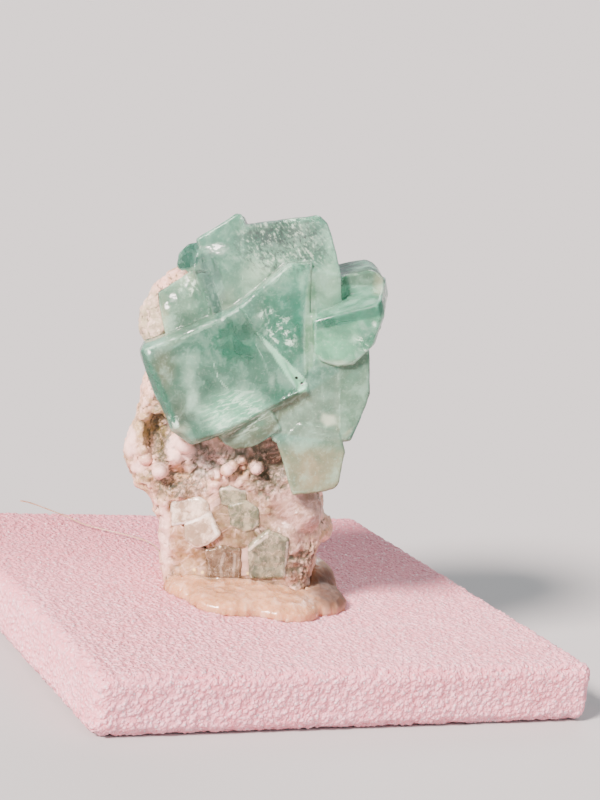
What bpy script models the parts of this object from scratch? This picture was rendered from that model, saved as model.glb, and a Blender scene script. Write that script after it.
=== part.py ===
# A fluorite specimen: green crystals grown on a piece of rock, which hot glue holds on a square foam slab.
# The row's origin is the middle of the slab's underside, with X along its front edge and Z up.
# The specimen has a frame of its own: x to the right, y away from the front and z up along the rock.

import math

import bmesh
import bpy
from mathutils import Matrix, Vector

# Driving sizes, in millimetres and degrees
MM = 0.001
GAP = 0.3  # left between pieces that touch
SLAB_SIDE = 80.0
SLAB_THICK = 9.2
SLAB_EDGE = 0.9  # rounding of the slab's cut edges
STAND_AT = (1.0, -0.3)  # where the rock stands on the slab, from the slab's middle
STAND_TURN = -27.4  # about Z: the specimen faces past the slab's near left corner
STAND_LEAN = -8.1  # the rock leans to its own left
ROCK_FRONT = -9.0
ROCK_BACK = 8.0
ROCK_ROUND = 2.6
ROCK_VOXEL = 0.62
ROCK_FACES = 3600
GLUE_TOP = 3.4
GLUE_VOXEL = 0.5
GLUE_MELT = 6  # rounds of smoothing that melt the lobes together
GLUE_FACES = 1300
GLUE_ROOM_VOXEL = 0.8
GLUE_ROOM_SWELL = 2.2 * GAP  # the rock's ragged surface needs more room than its plain gap
CRYSTAL_BEVEL = 0.22
CRYSTAL_EDGE_ANGLE = 22.0  # edges sharper than this are blunted
CRYSTAL_FLAT_ANGLE = 1.0  # faces closer than this are made one
CRYSTAL_NARROW = 0.8  # a face's nearest side, as a share of its mean reach
LUMP_SIDES = 28
LUMP_RINGS = 16
PIT_DETAIL = 3
BALL_DETAIL = 2
FLOOR_SIDE = 200.0  # the helper block that cuts off what would reach into the slab
FLOOR_DEPTH = 40.0

# Each finish: colour, roughness and how much light goes through
FINISHES = {
    "foam": ((0.80, 0.62, 0.66), 0.9, 0.0),
    "glue": ((0.72, 0.56, 0.42), 0.25, 0.3),
    "matrix": ((0.66, 0.52, 0.47), 0.85, 0.0),
    "fluorite": ((0.30, 0.62, 0.48), 0.08, 0.8),
    "pale_fluorite": ((0.56, 0.70, 0.58), 0.12, 0.8),
    "clear_crystal": ((0.62, 0.52, 0.40), 0.12, 0.8),
}

# Each crystal: the middle of its front face, its turn about x, y and z, and the face's outline around that
# middle. It goes back by depth, and widens by flare within its rim, as a cube with blunt edges does.
CLUSTER = {
    "front_cube": {
        "at": (-4.5, -13.5, 36.0), "turn": (-4, 0, 6), "depth": 13.5, "rim": 1.4, "flare": 1.09,
        "outline": [
            (-10.5, 3), (-10, 4), (3, 9.5), (6.2, 10.4), (11.4, -2.5), (6.5, -5.8), (-0.2, -9), (-4, -10),
            (-6.7, -8),
        ],
    },
    "wedge": {
        "at": (5.5, -11.6, 44.0), "turn": (-4, 0, 15), "depth": 12.0, "rim": 0.6, "flare": 1.04,
        "outline": [
            (-7, 2), (-3, 4.5), (-1, 6.1), (0.6, 8), (4, 8), (3.5, 4), (3.1, -8.5), (2, -9.5), (-3, -5),
            (-4.6, -2),
        ],
    },
    "crown": {
        "at": (4.5, -8.4, 50.5), "turn": (-6, 0, 3), "depth": 13.5, "rim": 0.9, "flare": 1.02,
        "outline": [
            (-6.4, 7), (5.6, 8.4), (7, 7.2), (8.2, 3), (8.9, 0), (9.2, -9), (4, -16), (-7, -12), (-7, -2.5),
        ],
    },
    "crown_left": {
        "at": (-4.0, -8.8, 52.0), "turn": (-7, 0, 1), "depth": 11.5, "rim": 0.5, "flare": 1.02,
        "outline": [
            (-4.2, 3.5), (-2, 4.6), (0, 6), (1.9, 7.3), (2.7, 7), (3.2, 5.8), (3.2, 0), (2.6, -8.5),
            (0.8, -8.5), (-2.8, -0.5),
        ],
    },
    "dark_corner": {
        "at": (-9.5, -5.5, 52.5), "turn": (-10, 0, -20), "depth": 8.5, "rim": 0.6, "flare": 1.05,
        "outline": [(1.4, 2.3), (-0.4, 1.9), (-1.9, 0.5), (-2.1, -1.5), (0, -3.5), (3, -3)],
    },
    "pale_left": {
        "at": (-10.0, -10.0, 46.0), "turn": (-12, 0, -16), "depth": 9.5, "rim": 1.0, "flare": 1.06,
        "outline": [
            (0.5, 4.8), (-4.3, 1.5), (-4, 0), (-3.4, -2.5), (-2, -6), (1.5, -6.5), (4.8, -4), (3.8, 1),
            (2.2, 5.2),
        ],
    },
    "right_cube": {
        "at": (14.0, -12.4, 41.5), "turn": (10, 0, -4), "depth": 13.0, "rim": 1.6, "flare": 1.1,
        "outline": [
            (-4.5, 2.3), (-1, 3.4), (5, 5), (5.4, 2.5), (4.2, -1.5), (1.5, -4.4), (-1, -4.8), (-3.4, -4),
            (-4.5, -2.5),
        ],
    },
    "right_back": {
        "at": (17.0, -6.0, 47.5), "turn": (2, 0, 4), "depth": 11.5, "rim": 0.5, "flare": 1.03,
        "outline": [(-3.5, 2.2), (1, 3.1), (2.1, 2.6), (3, 1.6), (3.2, -1.5), (2.6, -6), (-3.5, -6)],
    },
    "column": {
        "at": (10.5, -11.2, 31.5), "turn": (-2, 0, 4), "depth": 14.0, "rim": 0.6, "flare": 1.03,
        "outline": [
            (-3.5, 2), (-2.6, 13), (0, 13), (7.2, 7.5), (7.3, 1), (6.7, -1), (5.3, -3.2), (4.5, -6),
            (-4, -7), (-7, -6), (-9, -2),
        ],
    },
    "column_foot": {
        "at": (9.5, -11.7, 22.5), "turn": (0, 0, 3), "depth": 11.5, "rim": 0.5, "flare": 1.03,
        "outline": [
            (-5.5, 3), (-2, 5.8), (3.6, 5), (4.7, 1.2), (4.1, -1.5), (3.8, -3.6), (3.2, -4.4), (1.8, -4.8),
            (-3.1, -5.4),
        ],
    },
    "front_lump": {
        "at": (-0.5, -12.4, 27.0), "turn": (6, 0, 0), "depth": 9.5, "rim": 0.6, "flare": 1.05,
        "outline": [
            (-4.4, -0.6), (-3.4, -2), (-1.8, -2.9), (0.5, -2.6), (3, -1.2), (5, 0.4), (3, 4), (-3, 3.5),
        ],
    },
}

# The small crystals low on the rock: each node's finish, and its blocks, given as above
LOWER = {
    "fluorite_lower_left": ("pale_fluorite", {
        "upper": {
            "at": (-9.5, -10.0, 14.0), "turn": (-6, 0, -10), "depth": 4.0, "rim": 0.4, "flare": 1.05,
            "outline": [(-3, 1.6), (1.5, 2), (2.6, 1.4), (3, -0.6), (-2.6, -2.4)],
        },
        "lower": {
            "at": (-7.5, -10.6, 11.0), "turn": (-4, 0, -4), "depth": 4.4, "rim": 0.4, "flare": 1.05,
            "outline": [(-2.6, 1), (1, 3), (2, 0.6), (2.6, -0.4), (0.6, -2), (-1, -2.4), (-2.6, -1.4)],
        },
    }),
    "fluorite_lower_middle": ("pale_fluorite", {
        "upper": {
            "at": (-2.5, -9.7, 16.5), "turn": (-4, 0, 0), "depth": 3.6, "rim": 0.4, "flare": 1.05,
            "outline": [(-2.5, 1), (-0.5, 1.5), (1.6, 0.8), (1.6, -1), (0, -2), (-2, -1.5)],
        },
        "lower": {
            "at": (-1.0, -10.2, 13.4), "turn": (-2, 0, 4), "depth": 4.0, "rim": 0.4, "flare": 1.05,
            "outline": [(-2.4, 1.6), (0, 2.2), (2, 1), (2, -1.6), (0, -2.6), (-2, -1.6)],
        },
    }),
    "fluorite_lower_right": ("pale_fluorite", {
        "block": {
            "at": (2.5, -10.5, 7.0), "turn": (0, 0, 4), "depth": 4.0, "rim": 0.4, "flare": 1.04,
            "outline": [(0, 4), (3, 2.8), (2.5, -3.2), (-2.6, -3.2), (-2.8, 1.8)],
        },
    }),
    "clear_crystal_base": ("clear_crystal", {
        "block": {
            "at": (-4.2, -10.1, 5.5), "turn": (0, 0, -3), "depth": 4.0, "rim": 0.4, "flare": 1.05,
            "outline": [(-2.9, 2.4), (-0.5, 3), (2.4, 2.6), (2.4, -1.8), (-2.4, -1.8)],
        },
    }),
}

# The rock seen from the front, going clockwise from its left foot
ROCK_OUTLINE = [
    (-13.6, -1), (-14.6, 6.5), (-14.6, 12.5), (-15.8, 15.5), (-17.9, 17.5), (-18.4, 19.5), (-19.9, 22),
    (-19.8, 23.6), (-18.4, 27), (-17, 30), (-16.6, 34), (-16.2, 38.5), (-17.2, 42), (-16.2, 45), (-14.7, 48),
    (-12, 50.2), (-8, 51), (1, 48.5), (12, 47), (19.5, 45.5), (20.6, 42.5), (19.4, 39), (18, 36), (15, 26.5),
    (11.6, 21), (10.6, 15), (10.4, 12), (9.8, 7), (8.6, 2), (8.2, -2.5),
]
# Rounded lumps that the rock is built up from: middle and radius
ROCK_LUMPS = [
    ((-11.5, -6.8, 23.4), 3.4), ((-16.5, -4.5, 22.5), 3.3), ((-16.2, -5.2, 18.8), 2.5),
    ((-4.5, -7.2, 24.0), 3.4), ((6.2, -5.0, 13.0), 4.4), ((4.6, -5.2, 5.0), 4.2),
    ((-11.2, -4.6, 7.0), 3.6), ((18.4, -1.0, 42.0), 2.0), ((-13.8, -3.6, 43.0), 3.2),
    ((-11.0, -1.4, 47.0), 3.0), ((-14.6, -1.0, 31.0), 3.0), ((-12.0, -6.6, 15.0), 2.8),
]
ROCK_BACK_LUMPS = [
    ((-7.0, 4.6, 11.0), 5.2), ((3.5, 4.4, 17.0), 5.0), ((-11.5, 3.4, 24.0), 5.2),
    ((-1.0, 4.6, 29.0), 5.6), ((8.5, 3.6, 25.0), 4.6), ((-8.5, 4.0, 38.5), 5.2),
    ((4.5, 4.6, 40.0), 4.6), ((13.5, 3.0, 38.0), 4.4), ((-2.0, 4.2, 4.0), 4.8),
    ((-4.5, 6.6, 20.0), 2.6), ((10.0, 1.5, 9.0), 2.4), ((-14.2, 0.5, 13.0), 2.2),
]
# Planes where the rock has broken away: a point on each and the way that it faces
ROCK_BREAKS = [
    ((-13.0, 5.0, 10.0), (-0.62, 0.76, -0.2)), ((9.5, 5.0, 12.0), (0.66, 0.74, -0.1)),
    ((-6.0, 5.4, 47.0), (0.1, 0.72, 0.68)), ((15.5, 5.0, 38.0), (0.78, 0.6, 0.14)),
    ((-14.5, 4.0, 40.0), (-0.74, 0.62, 0.26)), ((0.0, 6.6, 6.0), (0.16, 0.9, -0.4)),
    ((9.6, -6.0, 12.0), (0.72, -0.68, 0.1)),
]
# Pits and hollows in the rock: middle and half widths
ROCK_PITS = [
    ((-15.0, -9.2, 25.8), (1.3, 3.6, 3.4)), ((-14.2, -9.6, 31.0), (1.1, 3.0, 1.6)),
    ((3.2, -11.0, 20.6), (3.2, 3.0, 3.4)), ((-9.0, -11.0, 18.6), (3.4, 2.4, 0.9)),
    ((2.0, 10.6, 23.0), (3.6, 3.2, 5.0)), ((-6.2, 10.4, 33.0), (3.0, 2.8, 2.6)),
    ((8.4, 9.0, 33.5), (2.6, 3.0, 3.2)), ((-3.0, 10.2, 12.0), (2.6, 2.8, 1.8)),
]
# White balls that sit on the rock's front: middle and radius
ROCK_BALLS = [
    ((-13.8, -9.4, 20.6), 1.35), ((0.8, -9.3, 20.9), 1.1), ((-3.3, -9.5, 20.9), 1.15),
    ((-5.3, -9.4, 19.8), 0.9), ((-1.5, -9.6, 21.9), 0.75), ((-0.9, -9.5, 19.4), 0.7),
    ((-18.2, -6.6, 23.4), 1.7), ((-17.2, -7.0, 20.2), 1.5), ((-16.4, -7.4, 28.4), 1.2),
    ((-11.8, -9.6, 22.2), 1.3), ((-10.0, -9.8, 24.6), 1.5), ((-17.6, -5.0, 26.0), 1.3),
]
# Ragged relief on the rock: kind of noise, its size and its depth
ROCK_RELIEF = [("CLOUDS", 6.0, 1.3), ("VORONOI", 2.6, 0.9), ("CLOUDS", 1.3, 0.5)]

# The glue's lobes on the slab, along the stand's own x and y: middle, and half widths with the height last
GLUE_LOBES = [
    ((0.0, -3.4), (13.8, 14.0, GLUE_TOP)), ((-8.6, -6.6), (6.0, 7.6, 2.9)), ((-3.6, -13.2), (6.4, 6.0, 2.3)),
    ((4.6, -12.6), (6.0, 5.2, 2.5)), ((9.8, -5.6), (4.8, 6.6, 2.6)), ((8.8, 1.0), (4.0, 6.0, 5.0)),
    ((-7.2, 5.4), (6.0, 5.6, 3.0)), ((2.4, 7.4), (8.0, 5.4, 3.0)),
]


def scaled(values):
    return tuple(value * MM for value in values)


def new_collection(name):
    collection = bpy.data.collections.new(name)
    bpy.context.scene.collection.children.link(collection)
    return collection


def new_object(name, mesh, collection, parent=None):
    thing = bpy.data.objects.new(name, mesh)
    collection.objects.link(thing)
    thing.parent = parent
    return thing


def mesh_object(name, shape, collection, parent=None):
    """An object made from a bmesh, which is used up."""
    mesh = bpy.data.meshes.new(name)
    shape.to_mesh(mesh)
    shape.free()
    return new_object(name, mesh, collection, parent)


def make_helper(thing):
    thing.hide_render = True
    thing.display_type = "WIRE"
    return thing


def finish(thing, name):
    """Gives an object one of the finishes, which nodes may share."""
    made = bpy.data.materials.get(name) or bpy.data.materials.new(name)
    colour, roughness, transmission = FINISHES[name]
    made.use_nodes = True
    shader = made.node_tree.nodes["Principled BSDF"]
    shader.inputs["Base Color"].default_value = (*colour, 1.0)
    shader.inputs["Roughness"].default_value = roughness
    shader.inputs["Metallic"].default_value = 0.0
    shader.inputs["Transmission Weight"].default_value = transmission
    made.diffuse_color = (*colour, 1.0)
    thing.data.materials.clear()
    thing.data.materials.append(made)


def combine(target, other, operation):
    step = target.modifiers.new(operation.lower(), "BOOLEAN")
    step.operation = operation
    step.solver = "EXACT"
    step.object = other
    return step


def settle(thing):
    """Turns an object's modifiers into its own mesh."""
    bpy.context.view_layer.update()
    graph = bpy.context.evaluated_depsgraph_get()
    mesh = bpy.data.meshes.new_from_object(thing.evaluated_get(graph))
    thing.modifiers.clear()
    thing.data = mesh


def block_shape(spec, grow=0.0):
    """A crystal as the hull of its blunt front face and its full outline, its faces grow further out."""
    points = [Vector((x, 0.0, z)) for x, z in spec["outline"]]
    middle = sum(points, Vector()) / len(points)
    reach = sum((point - middle).length for point in points) / len(points)
    widen = 1.0 + grow / (CRYSTAL_NARROW * reach)
    rings = [(-grow, 1.0), (spec["rim"], spec["flare"]), (spec["depth"] + grow, spec["flare"])]
    shape = bmesh.new()
    for y, share in rings:
        for point in points:
            corner = middle + (point - middle) * share * widen
            shape.verts.new(Vector((corner.x, y, corner.z)) * MM)
    hull = bmesh.ops.convex_hull(shape, input=shape.verts)
    inside = [item for item in hull["geom_interior"] if isinstance(item, bmesh.types.BMVert)]
    bmesh.ops.delete(shape, geom=inside, context="VERTS")
    flat = math.radians(CRYSTAL_FLAT_ANGLE)
    bmesh.ops.dissolve_limit(shape, angle_limit=flat, verts=shape.verts, edges=shape.edges)
    bmesh.ops.recalc_face_normals(shape, faces=shape.faces)
    return shape


def crystal_block(name, spec, collection, parent, grow=0.0):
    block = mesh_object(name, block_shape(spec, grow), collection, parent)
    block.location = scaled(spec["at"])
    block.rotation_euler = [math.radians(angle) for angle in spec["turn"]]
    if grow == 0.0:
        edge = block.modifiers.new("blunt_edges", "BEVEL")
        edge.width = CRYSTAL_BEVEL * MM
        edge.segments = 1
        edge.limit_method = "ANGLE"
        edge.angle_limit = math.radians(CRYSTAL_EDGE_ANGLE)
    return block


def crystal_group(name, specs, parts, helpers, parent, surface):
    """Makes one node from blocks grown into each other, and gives the rooms that they take in the rock."""
    blocks = [crystal_block(f"{name}.{key}", spec, helpers, parent) for key, spec in specs.items()]
    rooms = [crystal_block(f"{name}.{key}.room", spec, helpers, parent, GAP) for key, spec in specs.items()]
    node = blocks[0]
    for block in blocks[1:]:
        combine(node, make_helper(block), "UNION")
    settle(node)
    helpers.objects.unlink(node)
    parts.objects.link(node)
    node.name = name
    node.data.name = name
    finish(node, surface)
    return [make_helper(room) for room in rooms]


def outline_body(name, outline, front, back, rounding, collection, parent):
    """A rounded plate of the given outline, from its front to its back along y."""
    curve = bpy.data.curves.new(name, "CURVE")
    curve.dimensions = "2D"
    curve.fill_mode = "BOTH"
    curve.extrude = ((back - front) / 2 - rounding) * MM
    curve.bevel_depth = rounding * MM
    curve.bevel_resolution = 2
    curve.offset = -rounding * MM
    line = curve.splines.new("POLY")
    line.points.add(len(outline) - 1)
    for point, (x, z) in zip(line.points, outline):
        point.co = (x * MM, z * MM, 0.0, 1.0)
    line.use_cyclic_u = True
    drawn = new_object(name + ".outline", curve, collection, parent)
    drawn.location = (0.0, (front + back) / 2 * MM, 0.0)
    drawn.rotation_euler = (math.radians(90), 0.0, 0.0)
    bpy.context.view_layer.update()
    graph = bpy.context.evaluated_depsgraph_get()
    mesh = bpy.data.meshes.new_from_object(drawn.evaluated_get(graph))
    body = new_object(name, mesh, collection, parent)
    body.location = drawn.location
    body.rotation_euler = drawn.rotation_euler
    bpy.data.objects.remove(drawn)
    return body


def break_away(shape, point, facing):
    """Cuts a closed bmesh along a plane and leaves a flat face there."""
    everything = shape.verts[:] + shape.edges[:] + shape.faces[:]
    cut = bmesh.ops.bisect_plane(
        shape, geom=everything, plane_co=point, plane_no=facing, clear_outer=True, dist=0.000001
    )
    rim = [item for item in cut["geom_cut"] if isinstance(item, bmesh.types.BMEdge)]
    bmesh.ops.holes_fill(shape, edges=rim)


def lobe_place(middle, half_widths):
    """Where a ball of radius 1 goes to become a lobe of these half widths."""
    return Matrix.Translation(scaled(middle)) @ Matrix.Diagonal((*scaled(half_widths), 1.0))


def add_lobe(shape, middle, half_widths, turn=Matrix()):
    place = turn @ lobe_place(middle, half_widths)
    bmesh.ops.create_uvsphere(shape, u_segments=LUMP_SIDES, v_segments=LUMP_RINGS, radius=1.0, matrix=place)


def helper_lobes(name, lobes, collection, parent, detail):
    """One helper object of separate lobes, each given by its middle and half widths."""
    shape = bmesh.new()
    for middle, half_widths in lobes:
        place = lobe_place(middle, half_widths)
        bmesh.ops.create_icosphere(shape, subdivisions=detail, radius=1.0, matrix=place)
    return make_helper(mesh_object(name, shape, collection, parent))


def relief(thing, number, kind, size, height):
    noise = bpy.data.textures.new(f"{thing.name}.relief_{number}", kind)
    noise.noise_scale = size * MM
    step = thing.modifiers.new(noise.name, "DISPLACE")
    step.texture = noise
    step.texture_coords = "LOCAL"
    step.strength = height * MM
    step.mid_level = 0.5


def fuse(thing, voxel):
    """Makes one skin of what overlaps."""
    step = thing.modifiers.new("fuse", "REMESH")
    step.mode = "VOXEL"
    step.voxel_size = voxel * MM


def thin_out(thing, faces):
    """Brings a mesh down to about this many triangles."""
    settle(thing)
    thing.data.calc_loop_triangles()
    step = thing.modifiers.new("thin_out", "DECIMATE")
    step.ratio = min(1.0, faces / len(thing.data.loop_triangles))
    settle(thing)


def drop_chips(thing):
    """Removes the loose chips that cutting has left, and keeps the largest piece."""
    shape = bmesh.new()
    shape.from_mesh(thing.data)
    waiting = set(shape.verts)
    pieces = []
    while waiting:
        piece = {waiting.pop()}
        edge = list(piece)
        while edge:
            vertex = edge.pop()
            near = {link.other_vert(vertex) for link in vertex.link_edges} & waiting
            waiting -= near
            piece |= near
            edge.extend(near)
        pieces.append(piece)
    pieces.sort(key=len)
    for chip in pieces[:-1]:
        bmesh.ops.delete(shape, geom=list(chip), context="VERTS")
    shape.to_mesh(thing.data)
    shape.free()


def add_box(shape, middle, size):
    place = Matrix.Translation(scaled(middle)) @ Matrix.Diagonal((*scaled(size), 1.0))
    bmesh.ops.create_cube(shape, size=1.0, matrix=place)


def make_floor(top, collection):
    """A helper block that reaches up to the given height, and so cuts off what lies below it."""
    shape = bmesh.new()
    add_box(shape, (0, 0, top - FLOOR_DEPTH / 2), (FLOOR_SIDE, FLOOR_SIDE, FLOOR_DEPTH))
    return make_helper(mesh_object("slab_top", shape, collection))


def make_slab(parts):
    shape = bmesh.new()
    add_box(shape, (0, 0, SLAB_THICK / 2), (SLAB_SIDE, SLAB_SIDE, SLAB_THICK))
    slab = mesh_object("foam_slab", shape, parts)
    edge = slab.modifiers.new("cut_edges", "BEVEL")
    edge.width = SLAB_EDGE * MM
    edge.segments = 3
    finish(slab, "foam")


def make_rock(parts, helpers, parent, rooms, floor):
    rock = outline_body("matrix_rock", ROCK_OUTLINE, ROCK_FRONT, ROCK_BACK, ROCK_ROUND, parts, parent)
    turn = rock.matrix_basis.inverted()
    shape = bmesh.new()
    shape.from_mesh(rock.data)
    bmesh.ops.remove_doubles(shape, verts=shape.verts, dist=0.00001)
    for point, facing in ROCK_BREAKS:
        break_away(shape, turn @ Vector(scaled(point)), turn.to_3x3() @ Vector(facing))
    for middle, radius in ROCK_LUMPS + ROCK_BACK_LUMPS:
        add_lobe(shape, middle, (radius, radius, radius), turn)
    shape.to_mesh(rock.data)
    shape.free()
    fuse(rock, ROCK_VOXEL)
    combine(rock, helper_lobes("pits", ROCK_PITS, helpers, parent, PIT_DETAIL), "DIFFERENCE")
    for number, (kind, size, height) in enumerate(ROCK_RELIEF):
        relief(rock, number, kind, size, height)
    fuse(rock, ROCK_VOXEL)
    thin_out(rock, ROCK_FACES)
    balls = [(middle, (radius, radius, radius)) for middle, radius in ROCK_BALLS]
    combine(rock, helper_lobes("balls", balls, helpers, parent, BALL_DETAIL), "UNION")
    for room in rooms:
        combine(rock, room, "DIFFERENCE")
    combine(rock, floor, "DIFFERENCE")
    settle(rock)
    drop_chips(rock)
    finish(rock, "matrix")
    return rock


def rock_room(rock, collection):
    """The rock a little swollen, as the hole that it leaves in the glue."""
    room = make_helper(new_object("matrix_rock.room", rock.data.copy(), collection, rock.parent))
    room.location = rock.location
    room.rotation_euler = rock.rotation_euler
    fuse(room, GLUE_ROOM_VOXEL)
    swell = room.modifiers.new("swell", "DISPLACE")
    swell.strength = GLUE_ROOM_SWELL * MM
    swell.mid_level = 0.0
    return room


def make_glue(parts, stand, rock, helpers, floor):
    shape = bmesh.new()
    for (x, y), half_widths in GLUE_LOBES:
        add_lobe(shape, (x, y, 0.0), half_widths)
    glue = mesh_object("hot_glue", shape, parts, stand)
    fuse(glue, GLUE_VOXEL)
    melt = glue.modifiers.new("melt", "SMOOTH")
    melt.iterations = GLUE_MELT
    thin_out(glue, GLUE_FACES)
    combine(glue, rock_room(rock, helpers), "DIFFERENCE")
    combine(glue, floor, "DIFFERENCE")
    settle(glue)
    drop_chips(glue)
    finish(glue, "glue")


def main():
    for thing in list(bpy.data.objects):
        bpy.data.objects.remove(thing)
    parts = new_collection("fluorite_specimen")
    helpers = new_collection("cutters")

    make_slab(parts)
    stand = new_object("stand", None, parts)
    stand.location = scaled((*STAND_AT, SLAB_THICK))
    stand.rotation_euler = (0.0, 0.0, math.radians(STAND_TURN))
    specimen = new_object("specimen", None, parts, stand)
    specimen.rotation_euler = (0.0, math.radians(STAND_LEAN), 0.0)
    floor = make_floor(SLAB_THICK + GAP, helpers)

    rooms = crystal_group("fluorite_cluster", CLUSTER, parts, helpers, specimen, "fluorite")
    for name, (surface, specs) in LOWER.items():
        rooms += crystal_group(name, specs, parts, helpers, specimen, surface)
    rock = make_rock(parts, helpers, specimen, rooms, floor)
    make_glue(parts, stand, rock, helpers, floor)


main()
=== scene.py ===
import bmesh
import bpy
import numpy as np
from mathutils import Euler, Matrix, Vector
from mathutils.bvhtree import BVHTree


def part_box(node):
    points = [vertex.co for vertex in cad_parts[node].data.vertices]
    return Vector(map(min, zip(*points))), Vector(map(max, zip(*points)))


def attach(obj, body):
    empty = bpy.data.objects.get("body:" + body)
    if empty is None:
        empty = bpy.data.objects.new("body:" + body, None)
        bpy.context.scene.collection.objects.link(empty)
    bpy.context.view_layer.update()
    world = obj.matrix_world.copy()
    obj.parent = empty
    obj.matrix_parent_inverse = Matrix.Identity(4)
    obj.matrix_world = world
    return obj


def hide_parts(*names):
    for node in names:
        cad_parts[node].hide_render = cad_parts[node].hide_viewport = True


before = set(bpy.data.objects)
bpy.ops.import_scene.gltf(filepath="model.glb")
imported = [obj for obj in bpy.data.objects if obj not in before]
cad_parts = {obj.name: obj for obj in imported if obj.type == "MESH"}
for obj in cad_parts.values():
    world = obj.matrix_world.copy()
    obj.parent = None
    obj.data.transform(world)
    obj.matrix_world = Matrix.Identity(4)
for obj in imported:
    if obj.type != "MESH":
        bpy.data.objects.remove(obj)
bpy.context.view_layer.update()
mm = 0.001
mergeDistance = 0.000001

# The specimen's own frame: x to the right, y away and z up along the rock, counted in millimetres
specimen = {
    "place": (0.001, -0.0003, 0.0092),
    "turn": (0.0, -0.141372, -0.47822),
}
fromSpecimen = Matrix.LocRotScale(Vector(specimen["place"]), Euler(specimen["turn"]), Vector((mm, mm, mm)))
toSpecimen = fromSpecimen.inverted()
slabUp = tuple(value / mm for value in fromSpecimen[2][:3])  # the slab's upward direction in that frame


# Node trees: a Wire is a node's output, and a Board builds a tree for shading or for shapes

class Wire:
    def __init__(self, board, socket):
        self.board = board
        self.socket = socket

    def __add__(self, other):
        return self.board.maths("ADD", self, other)

    def __sub__(self, other):
        return self.board.maths("SUBTRACT", self, other)

    def __rsub__(self, other):
        return self.board.maths("SUBTRACT", other, self)

    def __mul__(self, other):
        return self.board.maths("MULTIPLY", self, other)

    def __truediv__(self, other):
        return self.board.maths("DIVIDE", self, other)

    def __rtruediv__(self, other):
        return self.board.maths("DIVIDE", other, self)

    __radd__ = __add__
    __rmul__ = __mul__

    # another output of the same node
    def beside(self, name):
        return Wire(self.board, self.socket.node.outputs[name])


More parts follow.
